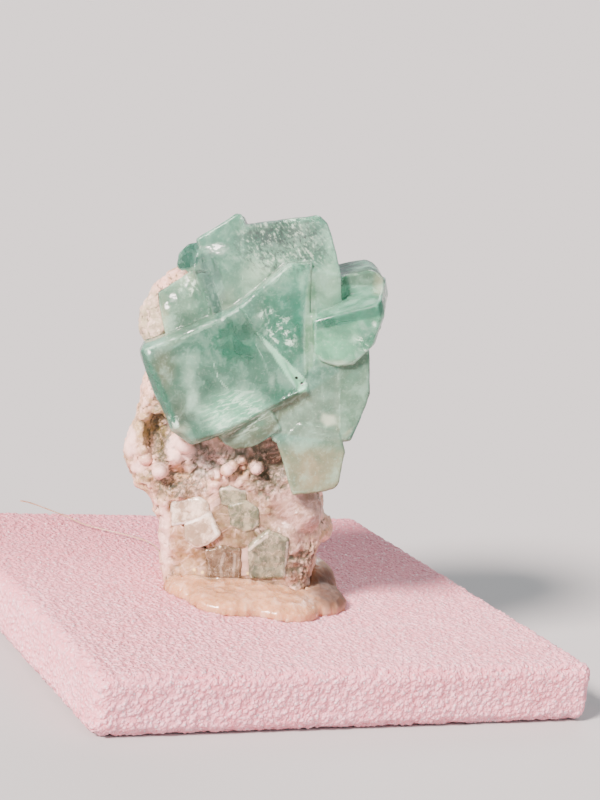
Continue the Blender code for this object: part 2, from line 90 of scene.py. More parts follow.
class Board:
    def __init__(self, tree):
        self.tree = tree
        tree.nodes.clear()

    def add(self, kind, settings=None, values=None, out=0):
        node = self.tree.nodes.new(kind)
        for name, setting in (settings or {}).items():
            setattr(node, name, setting)
        for key, value in (values or {}).items():
            if isinstance(value, Wire):
                self.tree.links.new(value.socket, node.inputs[key])
            elif isinstance(value, list) and isinstance(value[0], Wire):
                for wire in value:
                    self.tree.links.new(wire.socket, node.inputs[key])
            else:
                node.inputs[key].default_value = value
        return Wire(self, node.outputs[out]) if len(node.outputs) else node

    def maths(self, operation, *values):
        return self.add("ShaderNodeMath", {"operation": operation}, dict(enumerate(values)))

    def vector(self, operation, *values, out=0):
        return self.add("ShaderNodeVectorMath", {"operation": operation}, dict(enumerate(values)), out)

    def scaled(self, vector, length):
        return self.add("ShaderNodeVectorMath", {"operation": "SCALE"}, {0: vector, "Scale": length})

    # 0 below low and 1 above high, or the other way round where low is the larger
    def rise(self, value, low, high):
        values = {0: value, 1: low, 2: high}
        return self.add("ShaderNodeMapRange", {"interpolation_type": "SMOOTHSTEP"}, values)

    def tint(self, share, first, second):
        return self.add("ShaderNodeMix", {"data_type": "RGBA"}, {0: share, 6: first, 7: second}, 2)

    # lays colours over a colour, each by its strength where its value rises from low to high
    def wash(self, colour, layers):
        for value, low, high, strength, over in layers:
            colour = self.tint(self.rise(value, low, high) * strength, colour, over)
        return colour

    # the largest or the smallest of several values
    def pick(self, operation, values):
        chosen = values[0]
        for value in values[1:]:
            chosen = self.maths(operation, chosen, value)
        return chosen

    def dot(self, first, second):
        return self.vector("DOT_PRODUCT", first, second, out="Value")

    def part(self, vector, axis):
        return self.add("ShaderNodeSeparateXYZ", {}, {0: vector}, axis)

    def noise(self, point, size, detail=3.0, rough=0.55, out=0):
        values = {"Vector": point, "Scale": 1.0 / size, "Detail": detail, "Roughness": rough}
        return self.add("ShaderNodeTexNoise", {}, values, out)

    def cells(self, point, size, out="Distance", feature="F1", jitter=1.0):
        values = {"Vector": point, "Scale": 1.0 / size, "Randomness": jitter}
        return self.add("ShaderNodeTexVoronoi", {"feature": feature}, values, out)

    # a number from 0 to 1 for each cell
    def chance(self, cell, axis="X"):
        return self.part(cell.beside("Color"), axis)

    # heights of flat chips, each tipped its own way, as broken crystal faces are
    def shards(self, point, size):
        chip = self.cells(point, size, out="Position")
        tip = self.vector("SUBTRACT", chip.beside("Color"), (0.5, 0.5, 0.5))
        return self.dot(self.vector("SUBTRACT", point, chip), tip)

    # thin lines that wander through a body
    def veins(self, point, size, width):
        middle = self.maths("ABSOLUTE", self.noise(point, size, 3.0, 0.5) - 0.5)
        return self.rise(middle, width, 0.0)

    # 1 inside a ball with these half widths, fading out around it
    def spot(self, point, middle, reach, soft=0.4):
        shrink = [1.0 / value for value in reach]
        start = [-place * share for place, share in zip(middle, shrink)]
        inside = self.vector("MULTIPLY_ADD", point, shrink, start)
        return self.rise(self.vector("LENGTH", inside, out="Value"), 1.0 + soft, 1.0 - soft)

    def spots(self, point, places, soft=0.4):
        return self.pick("MAXIMUM", [self.spot(point, *place, soft) for place in places])

    # 1 inside a flat-sided outline on the front, whose corners (x, z) run clockwise
    def pane(self, point, corners, soft):
        shares = []
        for (x1, z1), (x2, z2) in zip(corners, corners[1:] + corners[:1]):
            across = Vector((z2 - z1, 0.0, x1 - x2)).normalized()
            start = across.x * x1 + across.z * z1
            depth = self.dot(point, across)
            shares.append(self.rise(depth, start - soft, start + soft))
        return self.pick("MINIMUM", shares)

    # 1 along a line drawn on the front through these places (x, z)
    def stroke(self, flat, places, width):
        distances = []
        for (x1, z1), (x2, z2) in zip(places, places[1:]):
            run = Vector((x2 - x1, 0.0, z2 - z1))
            away = self.vector("SUBTRACT", flat, (x1, 0.0, z1))
            along = self.dot(away, run / run.length_squared)
            along = self.maths("MINIMUM", self.maths("MAXIMUM", along, 0.0), 1.0)
            foot = self.scaled(tuple(run), along)
            distances.append(self.vector("DISTANCE", away, foot, out="Value"))
        return self.rise(self.pick("MINIMUM", distances), width, width * 0.3)

    # noise drawn out along a direction on the front, given by its angle from the x axis
    def streaks(self, point, angle, size, stretch, detail=3.0):
        values = {"Vector": point, "Rotation": (0.0, -angle, 0.0), "Scale": (stretch, 1.0, 1.0)}
        turned = self.add("ShaderNodeMapping", {"vector_type": "TEXTURE"}, values)
        return self.noise(turned, size, detail, 0.6)

    # a point pushed about by noise, so that the zones around it get ragged borders
    def stirred(self, point, size, reach):
        push = self.vector("SUBTRACT", self.noise(point, size, out=1), (0.5, 0.5, 0.5))
        return self.vector("MULTIPLY_ADD", push, (reach, reach, reach), point)

    def bump(self, height, depth=1.0, normal=None):
        values = {"Height": height, "Strength": 1.0, "Distance": depth * mm}
        if normal:
            values["Normal"] = normal
        return self.add("ShaderNodeBump", {}, values)

    # a normal that tips its own way in each grain
    def facets(self, point, size, tilt):
        turn = self.vector("SUBTRACT", self.cells(point, size, out="Color"), (0.5, 0.5, 0.5))
        normal = self.add("ShaderNodeNewGeometry", out="Normal")
        return self.vector("NORMALIZE", self.vector("MULTIPLY_ADD", turn, (tilt, tilt, tilt), normal))

    # stores a field on the mesh under a name
    def keep(self, geometry, name, value, kind="FLOAT"):
        values = {"Geometry": geometry, "Name": name, "Value": value}
        return self.add("GeometryNodeStoreNamedAttribute", {"data_type": kind}, values)

    def attribute(self, name, out):
        return self.add("ShaderNodeAttribute", {"attribute_name": name}, out=out)

    # moves a mesh's points
    def shift(self, geometry, offset):
        return self.add("GeometryNodeSetPosition", {}, {"Geometry": geometry, "Offset": offset})

    # object coordinates counted in millimetres from a place, along axes turned with it
    def point(self, place=specimen["place"], turn=specimen["turn"]):
        values = {"Vector": self.add("ShaderNodeTexCoord", out="Object"), "Scale": (mm, mm, mm)}
        values.update({"Location": place, "Rotation": turn})
        return self.add("ShaderNodeMapping", {"vector_type": "TEXTURE"}, values)

    def principled(self, **values):
        sockets = {name.replace("_", " "): value for name, value in values.items()}
        return self.add("ShaderNodeBsdfPrincipled", {}, sockets)

    def blend(self, share, first, second):
        return self.add("ShaderNodeMixShader", {}, {0: share, 1: first, 2: second})

    # a clear body also takes a colour out of the light
    def finish(self, shader, absorb=None, density=0.0):
        values = {"Surface": shader}
        if absorb:
            body = {"Color": absorb, "Density": density}
            values["Volume"] = self.add("ShaderNodeVolumeAbsorption", {}, body)
        self.add("ShaderNodeOutputMaterial", {}, values)


def newMaterial(name):
    material = bpy.data.materials.new(name)
    material.use_nodes = True
    return material, Board(material.node_tree)


def tone(red, green, blue):
    # a colour given as on a screen, in the renderer's linear light
    return tuple(((value / 255 + 0.055) / 1.055) ** 2.4 for value in (red, green, blue)) + (1.0,)


# Meshes

def newPiece(name, data):
    piece = bpy.data.objects.new(name, data)
    bpy.context.scene.collection.objects.link(piece)
    return piece


def plainMesh(piece):
    bpy.context.view_layer.update()
    graph = bpy.context.evaluated_depsgraph_get()
    return bpy.data.meshes.new_from_object(piece.evaluated_get(graph))


def settle(piece):
    # turns a piece's modifiers into its own mesh
    mesh = plainMesh(piece)
    piece.modifiers.clear()
    piece.data = mesh


def copyOfNode(node, name, rounds, voxel=0.0, filled=0.0, depth=8):
    # a fine, closed copy of a CAD node's shape, counted in the specimen's frame: rounded by a voxel
    # size, or with its edges kept, where it fills a share of a grid
    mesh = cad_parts[node].data.copy()
    mesh.materials.clear()
    shape = bmesh.new()
    shape.from_mesh(mesh)
    bmesh.ops.remove_doubles(shape, verts=shape.verts, dist=mergeDistance)
    shape.to_mesh(mesh)
    shape.free()
    mesh.transform(toSpecimen)
    piece = newPiece(name, mesh)
    step = piece.modifiers.new("skin", "REMESH")
    if voxel:
        step.mode = "VOXEL"
        step.voxel_size = voxel
    else:
        step.mode = "SHARP"
        step.octree_depth = depth
        step.scale = filled
        step.use_remove_disconnected = False
    soften = piece.modifiers.new("soften", "SMOOTH")
    soften.factor = 0.5
    soften.iterations = rounds
    settle(piece)
    return piece


def markEdges(mesh, rounds, reach):
    # stores how far each point stands out from its smoothed surroundings: edges above 0, creases below
    count = len(mesh.vertices)
    points = np.empty(count * 3)
    mesh.vertices.foreach_get("co", points)
    points = points.reshape(-1, 3)
    normals = np.empty(count * 3)
    mesh.vertex_normals.foreach_get("vector", normals)
    pairs = np.empty(len(mesh.edges) * 2, dtype=np.int32)
    mesh.edges.foreach_get("vertices", pairs)
    ends = (pairs[0::2], pairs[1::2])
    degree = np.bincount(pairs, minlength=count)[:, None]
    soft = points.copy()
    for _ in range(rounds):
        near = np.empty_like(soft)
        for axis in range(3):
            near[:, axis] = np.bincount(ends[0], soft[ends[1], axis], count)
            near[:, axis] += np.bincount(ends[1], soft[ends[0], axis], count)
        soft = (soft + near / degree) / 2
    stands = ((points - soft) * normals.reshape(-1, 3)).sum(axis=1) / reach
    layer = mesh.attributes.new("edge", "FLOAT", "POINT")
    layer.data.foreach_set("value", np.clip(stands, -1, 1))


def growShape(piece, name, sizes, build):
    # runs a Geometry Nodes tree over a piece, and keeps what it makes as a plain mesh
    tree = bpy.data.node_groups.new(name, "GeometryNodeTree")
    tree.interface.new_socket("Geometry", in_out="INPUT", socket_type="NodeSocketGeometry")
    for label in sizes:
        tree.interface.new_socket(label, in_out="INPUT", socket_type="NodeSocketFloat")
    tree.interface.new_socket("Geometry", in_out="OUTPUT", socket_type="NodeSocketGeometry")
    board = Board(tree)
    start = tree.nodes.new("NodeGroupInput")
    inputs = {socket.name: Wire(board, socket) for socket in start.outputs if socket.name}
    board.add("NodeGroupOutput", {}, {0: build(board, inputs)})
    step = piece.modifiers.new(name, "NODES")
    step.node_group = tree
    for item in tree.interface.items_tree:
        if item.item_type == "SOCKET" and item.name in sizes:
            step[item.identifier] = sizes[item.name]
    settle(piece)


def pushOut(board, geometry, height):
    # moves each point along its normal by a height
    return board.shift(geometry, board.scaled(board.add("GeometryNodeInputNormal"), height))


def swell(piece, thickness):
    def build(board, inputs):
        return pushOut(board, inputs["Geometry"], inputs["Thickness"])

    growShape(piece, piece.name + "Swell", {"Thickness": thickness}, build)


def distanceTo(board, pieces):
    shapes = [board.add("GeometryNodeObjectInfo", {}, {"Object": piece}, "Geometry") for piece in pieces]
    joined = board.add("GeometryNodeJoinGeometry", {}, {0: shapes})
    return board.add("GeometryNodeProximity", {}, {0: joined}, "Distance")


def bank(board, geometry, pieces, far, lift):
    # lifts what lies around these pieces forwards, so that they sit in it
    share = board.rise(distanceTo(board, pieces), far, far * 0.3)
    return board.shift(geometry, board.scaled((0.0, -1.0, 0.0), share * lift))


def sink(board, geometry, high, low, depth):
    # draws the foot of a shape down into what it stands on
    along = board.dot(board.add("GeometryNodeInputPosition"), slabUp)
    foot = board.rise(along, high, low) * depth
    return board.shift(geometry, board.scaled(slabUp, 0.0 - foot))


def hug(board, geometry, pieces, far, close):
    # draws what lies close to these pieces up against them, so that no gap shows
    share = 0.9
    near = distanceTo(board, pieces)
    point = board.add("GeometryNodeInputPosition")
    pull = board.vector("SUBTRACT", near.beside("Position"), point)
    pull = board.scaled(pull, board.rise(near, far, close) * share)
    return board.shift(geometry, pull)


def wear(board, geometry, material):
    return board.add("GeometryNodeSetMaterial", {}, {"Geometry": geometry, "Material": material})


def complete(piece, node, slot, material, place=fromSpecimen):
    # puts a finished piece where its CAD node is
    piece.data.transform(place)
    piece.data.materials.clear()
    piece.data.materials.append(material)
    piece.data.shade_smooth()
    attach(piece, "root")
    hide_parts(node)
    piece.data.calc_loop_triangles()
    print("made", piece.name, len(piece.data.loop_triangles), "triangles")


# Foam slab: rounded edges and small bubbles, which Geometry Nodes make from a fine box

foam = {
    "spacing": 0.37,
    "rounding": 2.0,
    "cellSize": 0.82,
    "cellDepth": 0.17,
    "cellDrop": 0.13,
    "crumb": 0.4,
    "pale": tone(255, 198, 210),
    "shade": tone(238, 150, 162),
    "top": tone(196, 112, 124),
    "glint": tone(255, 244, 248),
}


def makeFoamMaterial(middle):
    material, board = newMaterial("pinkFoam")
    point = board.point(middle, (0.0, 0.0, 0.0))
    cell = board.cells(point, foam["cellSize"], jitter=0.9)
    dome = board.rise(cell, 0.62, 0.12)
    fine = board.cells(point, 0.42)
    grain = board.rise(fine, 0.7, 0.1)
    # painted light and shade: each bubble is coloured lighter on its top and darker in the gaps, as its
    # bump is shaped; the rest differs at random
    light = dome * 0.45 + grain * 0.3 + board.chance(cell) * 0.25
    colour = board.tint(light + (board.noise(point, 6.0) - 0.5) * 0.6, foam["shade"], foam["pale"])
    # painted shade: the top is coloured darker than the sides, more so towards the back, for how the light
    # falls on it
    upper = board.rise(board.part(point, "Z"), 2.6, 4.4)
    away = board.rise(board.part(point, "Y"), -24.0, 30.0)
    colour = board.tint(upper * (away * 0.5 + 0.12), colour, foam["top"])
    # painted glints: a few grains are coloured near white, and made glossier too
    glint = board.rise(board.chance(fine), 0.84, 0.9) * grain
    colour = board.tint(glint * 0.65, colour, foam["glint"])
    height = dome * 0.2 + grain * 0.12 + board.noise(point, 0.3, 2.0) * 0.04
    normal = board.bump(height, normal=board.facets(point, 0.42, 0.35))
    shader = board.principled(
        Base_Color=colour, Roughness=0.7 - glint * 0.5, Normal=normal,
        Subsurface_Weight=0.35, Subsurface_Radius=(1.0, 0.7, 0.78), Subsurface_Scale=0.0016,
    )
    board.finish(shader)
    return material


def makeFoam():
    low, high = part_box("foam_slab")
    size = (high - low) / mm
    middle = (high + low) / 2
    material = makeFoamMaterial(middle)

    def build(board, inputs):
        counts = {
            f"Vertices {axis}": round(length / foam["spacing"]) + 1 for axis, length in zip("XYZ", size)
        }
        box = board.add("GeometryNodeMeshCube", {}, {"Size": size, **counts})
        point = board.add("GeometryNodeInputPosition")
        # the box's points are pulled onto its rounded edges
        reach = [length / 2 - foam["rounding"] for length in size]
        core = board.vector("MAXIMUM", board.vector("MINIMUM", point, reach), [-value for value in reach])
        away = board.vector("SUBTRACT", point, core)
        beyond = board.vector("LENGTH", away, out="Value")
        corner = board.rise(beyond, foam["rounding"], foam["rounding"] * 1.4)
        cell = board.cells(point, inputs["Cell size"], jitter=0.9)
        gap = board.rise(cell, 0.15, 0.62)
        drop = board.rise(board.chance(cell), 0.6, 0.95) * inputs["Cell drop"]
        crumb = board.rise(board.noise(point, 2.2, 3.0, 0.7), 0.44, 0.7) * inputs["Crumb"]
        depth = gap * inputs["Cell depth"] + (drop + crumb * 0.4) * (1.0 + corner * 1.5)
        outward = board.scaled(board.vector("NORMALIZE", away), inputs["Rounding"] - depth)
        place = board.vector("ADD", core, outward)
        shaped = board.add("GeometryNodeSetPosition", {}, {"Geometry": box, "Position": place})
        return wear(board, shaped, material)

    piece = newPiece("foam_slab_cells", bpy.data.meshes.new("foam_slab_cells"))
    sizes = {
        "Cell size": foam["cellSize"],
        "Cell depth": foam["cellDepth"],
        "Cell drop": foam["cellDrop"],
        "Crumb": foam["crumb"],
        "Rounding": foam["rounding"],
    }
    growShape(piece, "foamCells", sizes, build)
    complete(piece, "foam_slab", "foam", material, Matrix.Translation(middle) @ Matrix.Scale(mm, 4))


# Fluorite crystals

fluorite = {
    "filled": 0.69,
    "depth": 8,
    "relief": {"Wave": 0.22, "Ripple": 0.08, "Steps": 0.35, "Chips": 0.3},
    "ior": 1.434,
    "pale": tone(119, 161, 143),
    "mid": tone(92, 138, 119),
    "line": tone(158, 196, 174),
    "shadow": tone(57, 102, 83),
    "mist": tone(146, 184, 164),
    "flash": tone(206, 236, 214),
    "absorb": (0.25, 0.88, 0.70, 1.0),
    "density": 100.0,
    "window": ((-2.0, -13.5, 29.8), (4.6, 3.0, 3.2)),
    "veil": ((5.0, -8.5, 54.6), (6.6, 4.0, 4.2)),
    "glintTurn": (-2.6, -2.6, 1.64),
    "drawnCorner": ((-14.8, -11.0, 35.4), (2.6, 5.0, 6.0)),
    "dullEdge": ((15.0, -12.4, 45.6), (6.4, 3.0, 1.6)),
    "drawnOut": (-0.55, 0.0, 0.0),
}
# the crystals' faces on the front: colour, how milky, how soft the border is, and corners (x, z) clockwise
fluoriteFaces = {
    "crown": ((92, 137, 118), 0.75, 0.3, [
        (-4, 43), (-7.9, 55.4), (-1, 60), (12, 60), (14.5, 50), (12, 43)]),
    "leftCrystal": ((108, 143, 121), 0.75, 0.2, [
        (-12.2, 40), (-14.2, 47.6), (-9.1, 51.6), (-7.6, 52.4), (-3.6, 42.6)]),
    "column": ((111, 138, 119), 0.8, 0.2, [
        (3, 26.9), (8.3, 37), (15.3, 37.2), (18.6, 39.4), (18.6, 32.7), (14.3, 25)]),
    "columnFoot": ((130, 136, 108), 0.85, 1.6, [
        (5.8, 15), (3.6, 24.6), (15, 24.9), (15, 22), (13.8, 15)]),
    "lowerSlab": ((90, 102, 82), 0.8, 0.25, [
        (-5, 26.7), (2, 30.4), (6.4, 31.8), (3.4, 27), (0, 24.2), (-2.5, 23.8)]),
    "wedge": ((84, 144, 120), 0.6, 0.15, [
        (1, 41.9), (1.8, 46.4), (4.1, 50.2), (5.9, 52.5), (9.3, 52.3), (8.4, 47), (8.2, 35.4),
        (7.6, 35.2), (2.4, 40.3)]),
    "rightTop": ((88, 146, 120), 0.7, 0.15, [
        (9.6, 44), (10.2, 47.2), (16, 49), (17.8, 49), (20, 47), (12.9, 45.1)]),
    "rightBack": ((78, 108, 88), 0.7, 0.2, [
        (13.4, 47.2), (14, 51.5), (20.5, 51.5), (20.5, 48), (17.6, 48.2)]),
    "rightFace": ((92, 153, 122), 0.8, 0.15, [
        (9.4, 38), (9.4, 44), (12.9, 45.1), (20.5, 47.1), (20, 41.5), (18, 38), (15.3, 36.8),
        (11.7, 36.8)]),
    "bigCrystal": ((88, 132, 112), 0.6, 0.16, [
        (-17, 38.4), (-15.4, 40), (-4.3, 44.2), (-1.6, 45.9), (1.3, 41.9), (8.1, 34.9), (8.6, 33.2),
        (6.1, 31.4), (-4.7, 25), (-12.6, 27)]),
}
# narrow faces with clear borders, which lie over the softer zones
fluoriteTrims = {
    "cornerCrystal": ((60, 108, 94), 0.5, 0.2, [
        (-11.8, 50.5), (-11.8, 56), (-8, 56), (-7.7, 52.2), (-9.5, 50.8)]),
    # painted shade: the narrow face deep in the crease is coloured darker
    "narrowFace": ((68, 106, 90), 0.85, 0.12, [
        (-5.4, 43), (-6.6, 48.6), (-7.8, 52.4), (-8.1, 55.4), (-7.0, 54), (-5.5, 49.4), (-3.7, 43.4)]),
    "columnSide": ((100, 132, 110), 0.75, 0.16, [
        (13.4, 26), (13.2, 36.9), (18.6, 39.4), (18.6, 32.7), (15.9, 28)]),
    "creaseFace": ((92, 137, 106), 0.9, 0.16, [
        (8.1, 35.6), (8, 41.3), (8.4, 48.3), (9.1, 51.8), (10, 46.8), (9.7, 42.3), (9.6, 37)]),
    "rightBand": ((58, 128, 102), 0.5, 0.2, [
        (9.4, 42.4), (9.4, 43.9), (12.9, 45), (20.2, 47), (20, 45), (13.4, 43.2)]),
    "bigSide": ((70, 124, 102), 0.55, 0.16, [
        (-12.1, 27.6), (-16.6, 37.1), (-16.8, 39.2), (-15.4, 39.5), (-13.2, 35.9), (-10.5, 28.2)]),
    "bigUnder": ((100, 118, 96), 0.9, 0.4, [
        (-4.7, 26.5), (8.4, 33.3), (9.2, 31.7), (-3.4, 24.6)]),
    "whitePatch": ((176, 192, 168), 1, 0.4, [
        (10.6, 28.6), (10.7, 29.6), (12.6, 29.2), (12.9, 28.1), (11.4, 27.7)]),
    # painted highlight: the thin facet at the big crystal's lower right is coloured bright where it catches
    # the light
    "whiteFacet": ((140, 203, 168), 0.95, 0.12, [
        (1.3, 41.9), (2.5, 40.9), (8.1, 35.0), (8.6, 33.2), (7.4, 33.0), (5.2, 35.9)]),
}
# softer zones within the faces, by depth y and its half width: middle (x, z), half widths, colour,
# strength, and how milky each is
fluoriteZones = [
    (-13.5, 3, [
        ((-3, 40.6), (5.4, 3.6), (56, 122, 98), 0.9, 0.45),
        ((-0.9, 42.8), (2.6, 1.2), (66, 108, 90), 0.7, 0.5),
        ((-12.5, 36.4), (1.7, 3.4), (98, 106, 84), 0.85, 0.75),
        ((-10.4, 30.8), (1.5, 2.8), (88, 98, 82), 0.85, 0.7),
        ((-8, 34), (3.4, 4), (104, 142, 122), 0.6, 0.7),
        ((-9.2, 35.8), (0.9, 1.9), (150, 188, 166), 0.6, 0.9),
        ((-8.4, 32.2), (0.8, 1.6), (154, 190, 170), 0.65, 0.9),
        ((-6.4, 30.4), (1.6, 0.9), (146, 184, 162), 0.6, 0.9),
        ((-9.6, 38.2), (1.8, 0.7), (130, 170, 148), 0.55, 0.8),
        ((-6.5, 34.6), (1.4, 1.5), (66, 112, 94), 0.65, 0.5),
        ((-8.8, 29.4), (0.9, 0.8), (64, 86, 74), 0.6, 0.7),
        ((-10.8, 27.8), (1.8, 0.8), (156, 160, 136), 0.65, 0.9),
    ]),
    (-13.5, 3.4, [((-1.9, 30.4), (4, 2.7), (124, 190, 156), 0.95, 1)]),
    (-13.5, 3, [((-3.8, 28.8), (2.2, 1.2), (166, 220, 190), 0.6, 1)]),
    (-13.5, 3.4, [((3, 36), (2.6, 3), (88, 136, 116), 0.6, 0.6)]),
    (-13.5, 3, [((3.2, 34.6), (0.4, 1.4), (156, 194, 172), 0.5, 0.8)]),
    (-13.5, 2.4, [((5, 32.6), (2.6, 1.5), (76, 138, 114), 0.7, 0.5)]),
    (-11.5, 2.6, [
        ((6.4, 46.4), (2, 3.4), (80, 148, 126), 0.7, 0.5),
        ((4.6, 49), (0.9, 1.6), (68, 132, 110), 0.6, 0.5),
        ((7.4, 44), (0.9, 3), (62, 142, 116), 0.7, 0.45),
        ((7.2, 50.6), (2.4, 1.6), (99, 158, 130), 0.7, 0.6),
        ((7.7, 49), (0.5, 1.6), (144, 190, 164), 0.5, 0.8),
        ((1.7, 44.8), (1.1, 1.8), (94, 134, 112), 0.6, 0.6),
        ((6, 38.2), (2, 2.6), (86, 152, 124), 0.6, 0.6),
    ]),
    (-12, 2.4, [
        ((12.4, 39.7), (2.6, 1.9), (108, 176, 140), 0.85, 0.95),
        ((17.6, 42.2), (1.2, 1.8), (66, 136, 110), 0.7, 0.5),
        ((15.4, 41.2), (0.8, 0.6), (150, 204, 174), 0.6, 0.9),
    ]),
    (-12.4, 2, [((14.6, 37.2), (4.4, 0.6), (156, 180, 154), 0.8, 1)]),
    (-8, 3, [((19.2, 48.8), (1, 1.6), (168, 172, 142), 0.7, 0.9)]),
    (-8.5, 3, [
        ((4.4, 56.2), (6, 2.4), (84, 102, 92), 0.85, 0.8),
        ((2.6, 55.6), (1.8, 1.2), (70, 88, 84), 0.6, 0.8),
        ((1.4, 49.8), (5, 3.6), (128, 160, 138), 0.85, 0.9),
        ((0.4, 50.6), (2.2, 1.4), (156, 186, 162), 0.6, 0.95),
        ((-3.6, 46), (1.6, 2.2), (134, 152, 130), 0.6, 0.85),
        ((7.6, 53.4), (3.6, 1.8), (108, 142, 122), 0.7, 0.8),
        ((-3.4, 52.6), (2.6, 3), (92, 134, 114), 0.8, 0.65),
        ((-1.6, 58.2), (1.8, 1.4), (88, 138, 114), 0.7, 0.6),
        ((9.6, 58.8), (2.6, 0.9), (92, 146, 120), 0.7, 0.6),
        ((12.2, 53.4), (1.2, 4.4), (130, 176, 150), 0.8, 0.9),
    ]),
    (-8.8, 3, [((11.4, 48.6), (2.4, 3.2), (132, 170, 144), 0.9, 0.95)]),
    (-11, 3, [
        ((-9.6, 49.4), (1.6, 1.5), (136, 160, 134), 0.7, 0.9),
        ((-10.6, 50.2), (1.6, 0.7), (152, 160, 130), 0.6, 0.9),
        ((-9.2, 43.2), (3, 1.6), (78, 110, 92), 0.8, 0.65),
        ((-7.2, 47.4), (1.3, 3.2), (88, 134, 112), 0.7, 0.6),
    ]),
    (-10, 3, [((-13.4, 43.6), (1.1, 2.8), (148, 156, 128), 0.8, 0.9)]),
    (-11.7, 3, [((9.2, 20.8), (2, 2.6), (148, 136, 106), 0.5, 0.95)]),
    (-11.5, 2, [((14, 27.8), (1.2, 1.3), (140, 146, 116), 0.7, 0.95)]),
    (-11, 3, [((11.6, 33.6), (1.4, 2.6), (94, 130, 110), 0.6, 0.7)]),
]
# pale lines along ridges, steps and veils, partly painted highlight where the crystals' edges catch the
# light: places (x, z), width and strength
fluoriteLines = [
    ([(-15, 39.7), (-9.6, 41.5), (-4.3, 43.9), (-1.8, 45.6)], 0.3, 0.58),
    ([(-1.8, 45.6), (2, 48), (4, 49.8), (5.8, 52.1)], 0.2, 0.3),
    ([(5.8, 52.1), (9.2, 52.2)], 0.2, 0.36),
    ([(1.1, 41.9), (2.9, 43.6), (1.9, 46.6)], 0.2, 0.36),
    ([(1.3, 42), (2.6, 40.5), (8.1, 34.9), (8.4, 33.3)], 0.2, 0.58),
    ([(8.2, 33.2), (6.1, 31.6), (1.9, 30), (-0.5, 28.6), (-4.7, 26.6)], 0.2, 0.36),
    ([(-16, 36.2), (-14.1, 32.7), (-12.2, 28.2)], 0.2, 0.29),
    ([(-7.9, 55.2), (-7, 53.8), (-5.5, 49.4), (-3.9, 44.3)], 0.2, 0.25),
    ([(-14.1, 47.6), (-13.4, 44.4), (-12.2, 41.1)], 0.2, 0.32),
    ([(-5.3, 37.4), (-4.8, 35.7), (-4, 34.4), (-3.3, 33.7), (-1.5, 33.3), (0.6, 33.1)], 0.2, 0.54),
    ([(0.8, 40.6), (2, 38), (3, 35.4), (3.8, 33.4)], 0.2, 0.29),
    ([(9.5, 44), (12.9, 45.1), (16, 45.9), (19, 46.6)], 0.2, 0.14),
    ([(20, 46.3), (19, 41.8), (18.1, 39.9), (15.3, 37.2), (11.7, 37.3), (9.6, 38.6)], 0.3, 0.58),
    ([(13.6, 47.4), (16, 48.2), (17.8, 48.2), (19.6, 47.2)], 0.2, 0.36),
    ([(12.1, 56.6), (13.1, 54), (13.9, 51)], 0.38, 0.43),
    ([(8.4, 48.4), (8, 41.3), (8.2, 36)], 0.2, 0.29),
    ([(9.9, 46.8), (9.7, 42.3), (9.6, 37.6)], 0.2, 0.36),
    ([(13.2, 36.6), (13.3, 32), (13.4, 27)], 0.2, 0.32),
    ([(10.7, 36), (10.9, 31.6)], 0.2, 0.25),
    ([(8.7, 27), (11.4, 26.3), (14.4, 26.6)], 0.2, 0.32),
    ([(3.8, 25.8), (6.3, 17.6), (10.3, 17.9), (10.6, 19.4)], 0.2, 0.32),
    ([(-8.5, 25.2), (-5, 26.7), (-1, 28.2)], 0.2, 0.36),
]
# clefts that are filled up to a sloping face: corners (x, z), depth y at x = z = 0 and its slopes, softness
fluoriteFills = [
    ([(-2.6, 42.2), (-5.2, 42.4), (-8.7, 51.4), (-8.2, 54), (-6.2, 54), (-2, 44.4)],
     (-18.2, 0.5, 0.226), 0.3),
    ([(8.5, 43.2), (8.5, 51.9), (14, 50.6), (14, 43.6)], (-13.5, 0.36, 0), 0.6),
    ([(-1.3, 44), (-1.3, 59.4), (5, 59.4), (3.4, 50)], (-14.25, 0.09, 0.105), 0.2),
    ([(-4.9, 27), (8.3, 34), (9.8, 30.8), (-2.8, 24)], (12.84, 0.537, -0.889), 0.2),
]
# sparkling inclusions just under the surface, whose pale flecks are painted bright as their sparkle (partly
# painted highlight): middle and half widths
fluoriteSparks = [
    ((4.3, -11.5, 42.2), (1.9, 3, 2.4)), ((2.6, -11.5, 44.8), (1, 3, 1)),
    ((-9.4, -11, 48.8), (1.4, 3, 1.6)), ((5.6, -11.5, 40.6), (1.2, 3, 1.4)),
    ((16.8, -12, 40.2), (1.4, 3, 1.4)), ((5, -8.5, 58.4), (5, 3, 0.9)),
    ((-11.2, -13, 28.8), (1.2, 3, 1)),
]
# small facets tipped towards the light, each with a pale halo painted round it (painted highlight): middle
# and half widths
fluoriteGlints = [
    ((-5.2, -9, 54), (1.3, 3, 0.7)), ((-11.6, -9.5, 46.7), (0.45, 3, 0.5)),
    ((-12.6, -9.3, 45.6), (0.35, 3, 0.45)), ((-9.6, -9.4, 49.2), (0.25, 3, 0.6)),
    ((18.4, -13, 43.5), (0.3, 3, 0.4)), ((-14.8, -14, 39.2), (0.3, 3, 0.25)),
    ((-4, -13, 44.1), (0.18, 3, 0.18)), ((-10.8, -14, 28.6), (0.18, 3, 0.45)),
    ((4.6, -12, 42.8), (0.3, 3, 0.22)), ((5.4, -12, 41.6), (0.2, 3, 0.3)),
]
darkDots = [((6.9, -12.4, 35.1), 0.30), ((7.7, -12.2, 34.2), 0.34)]


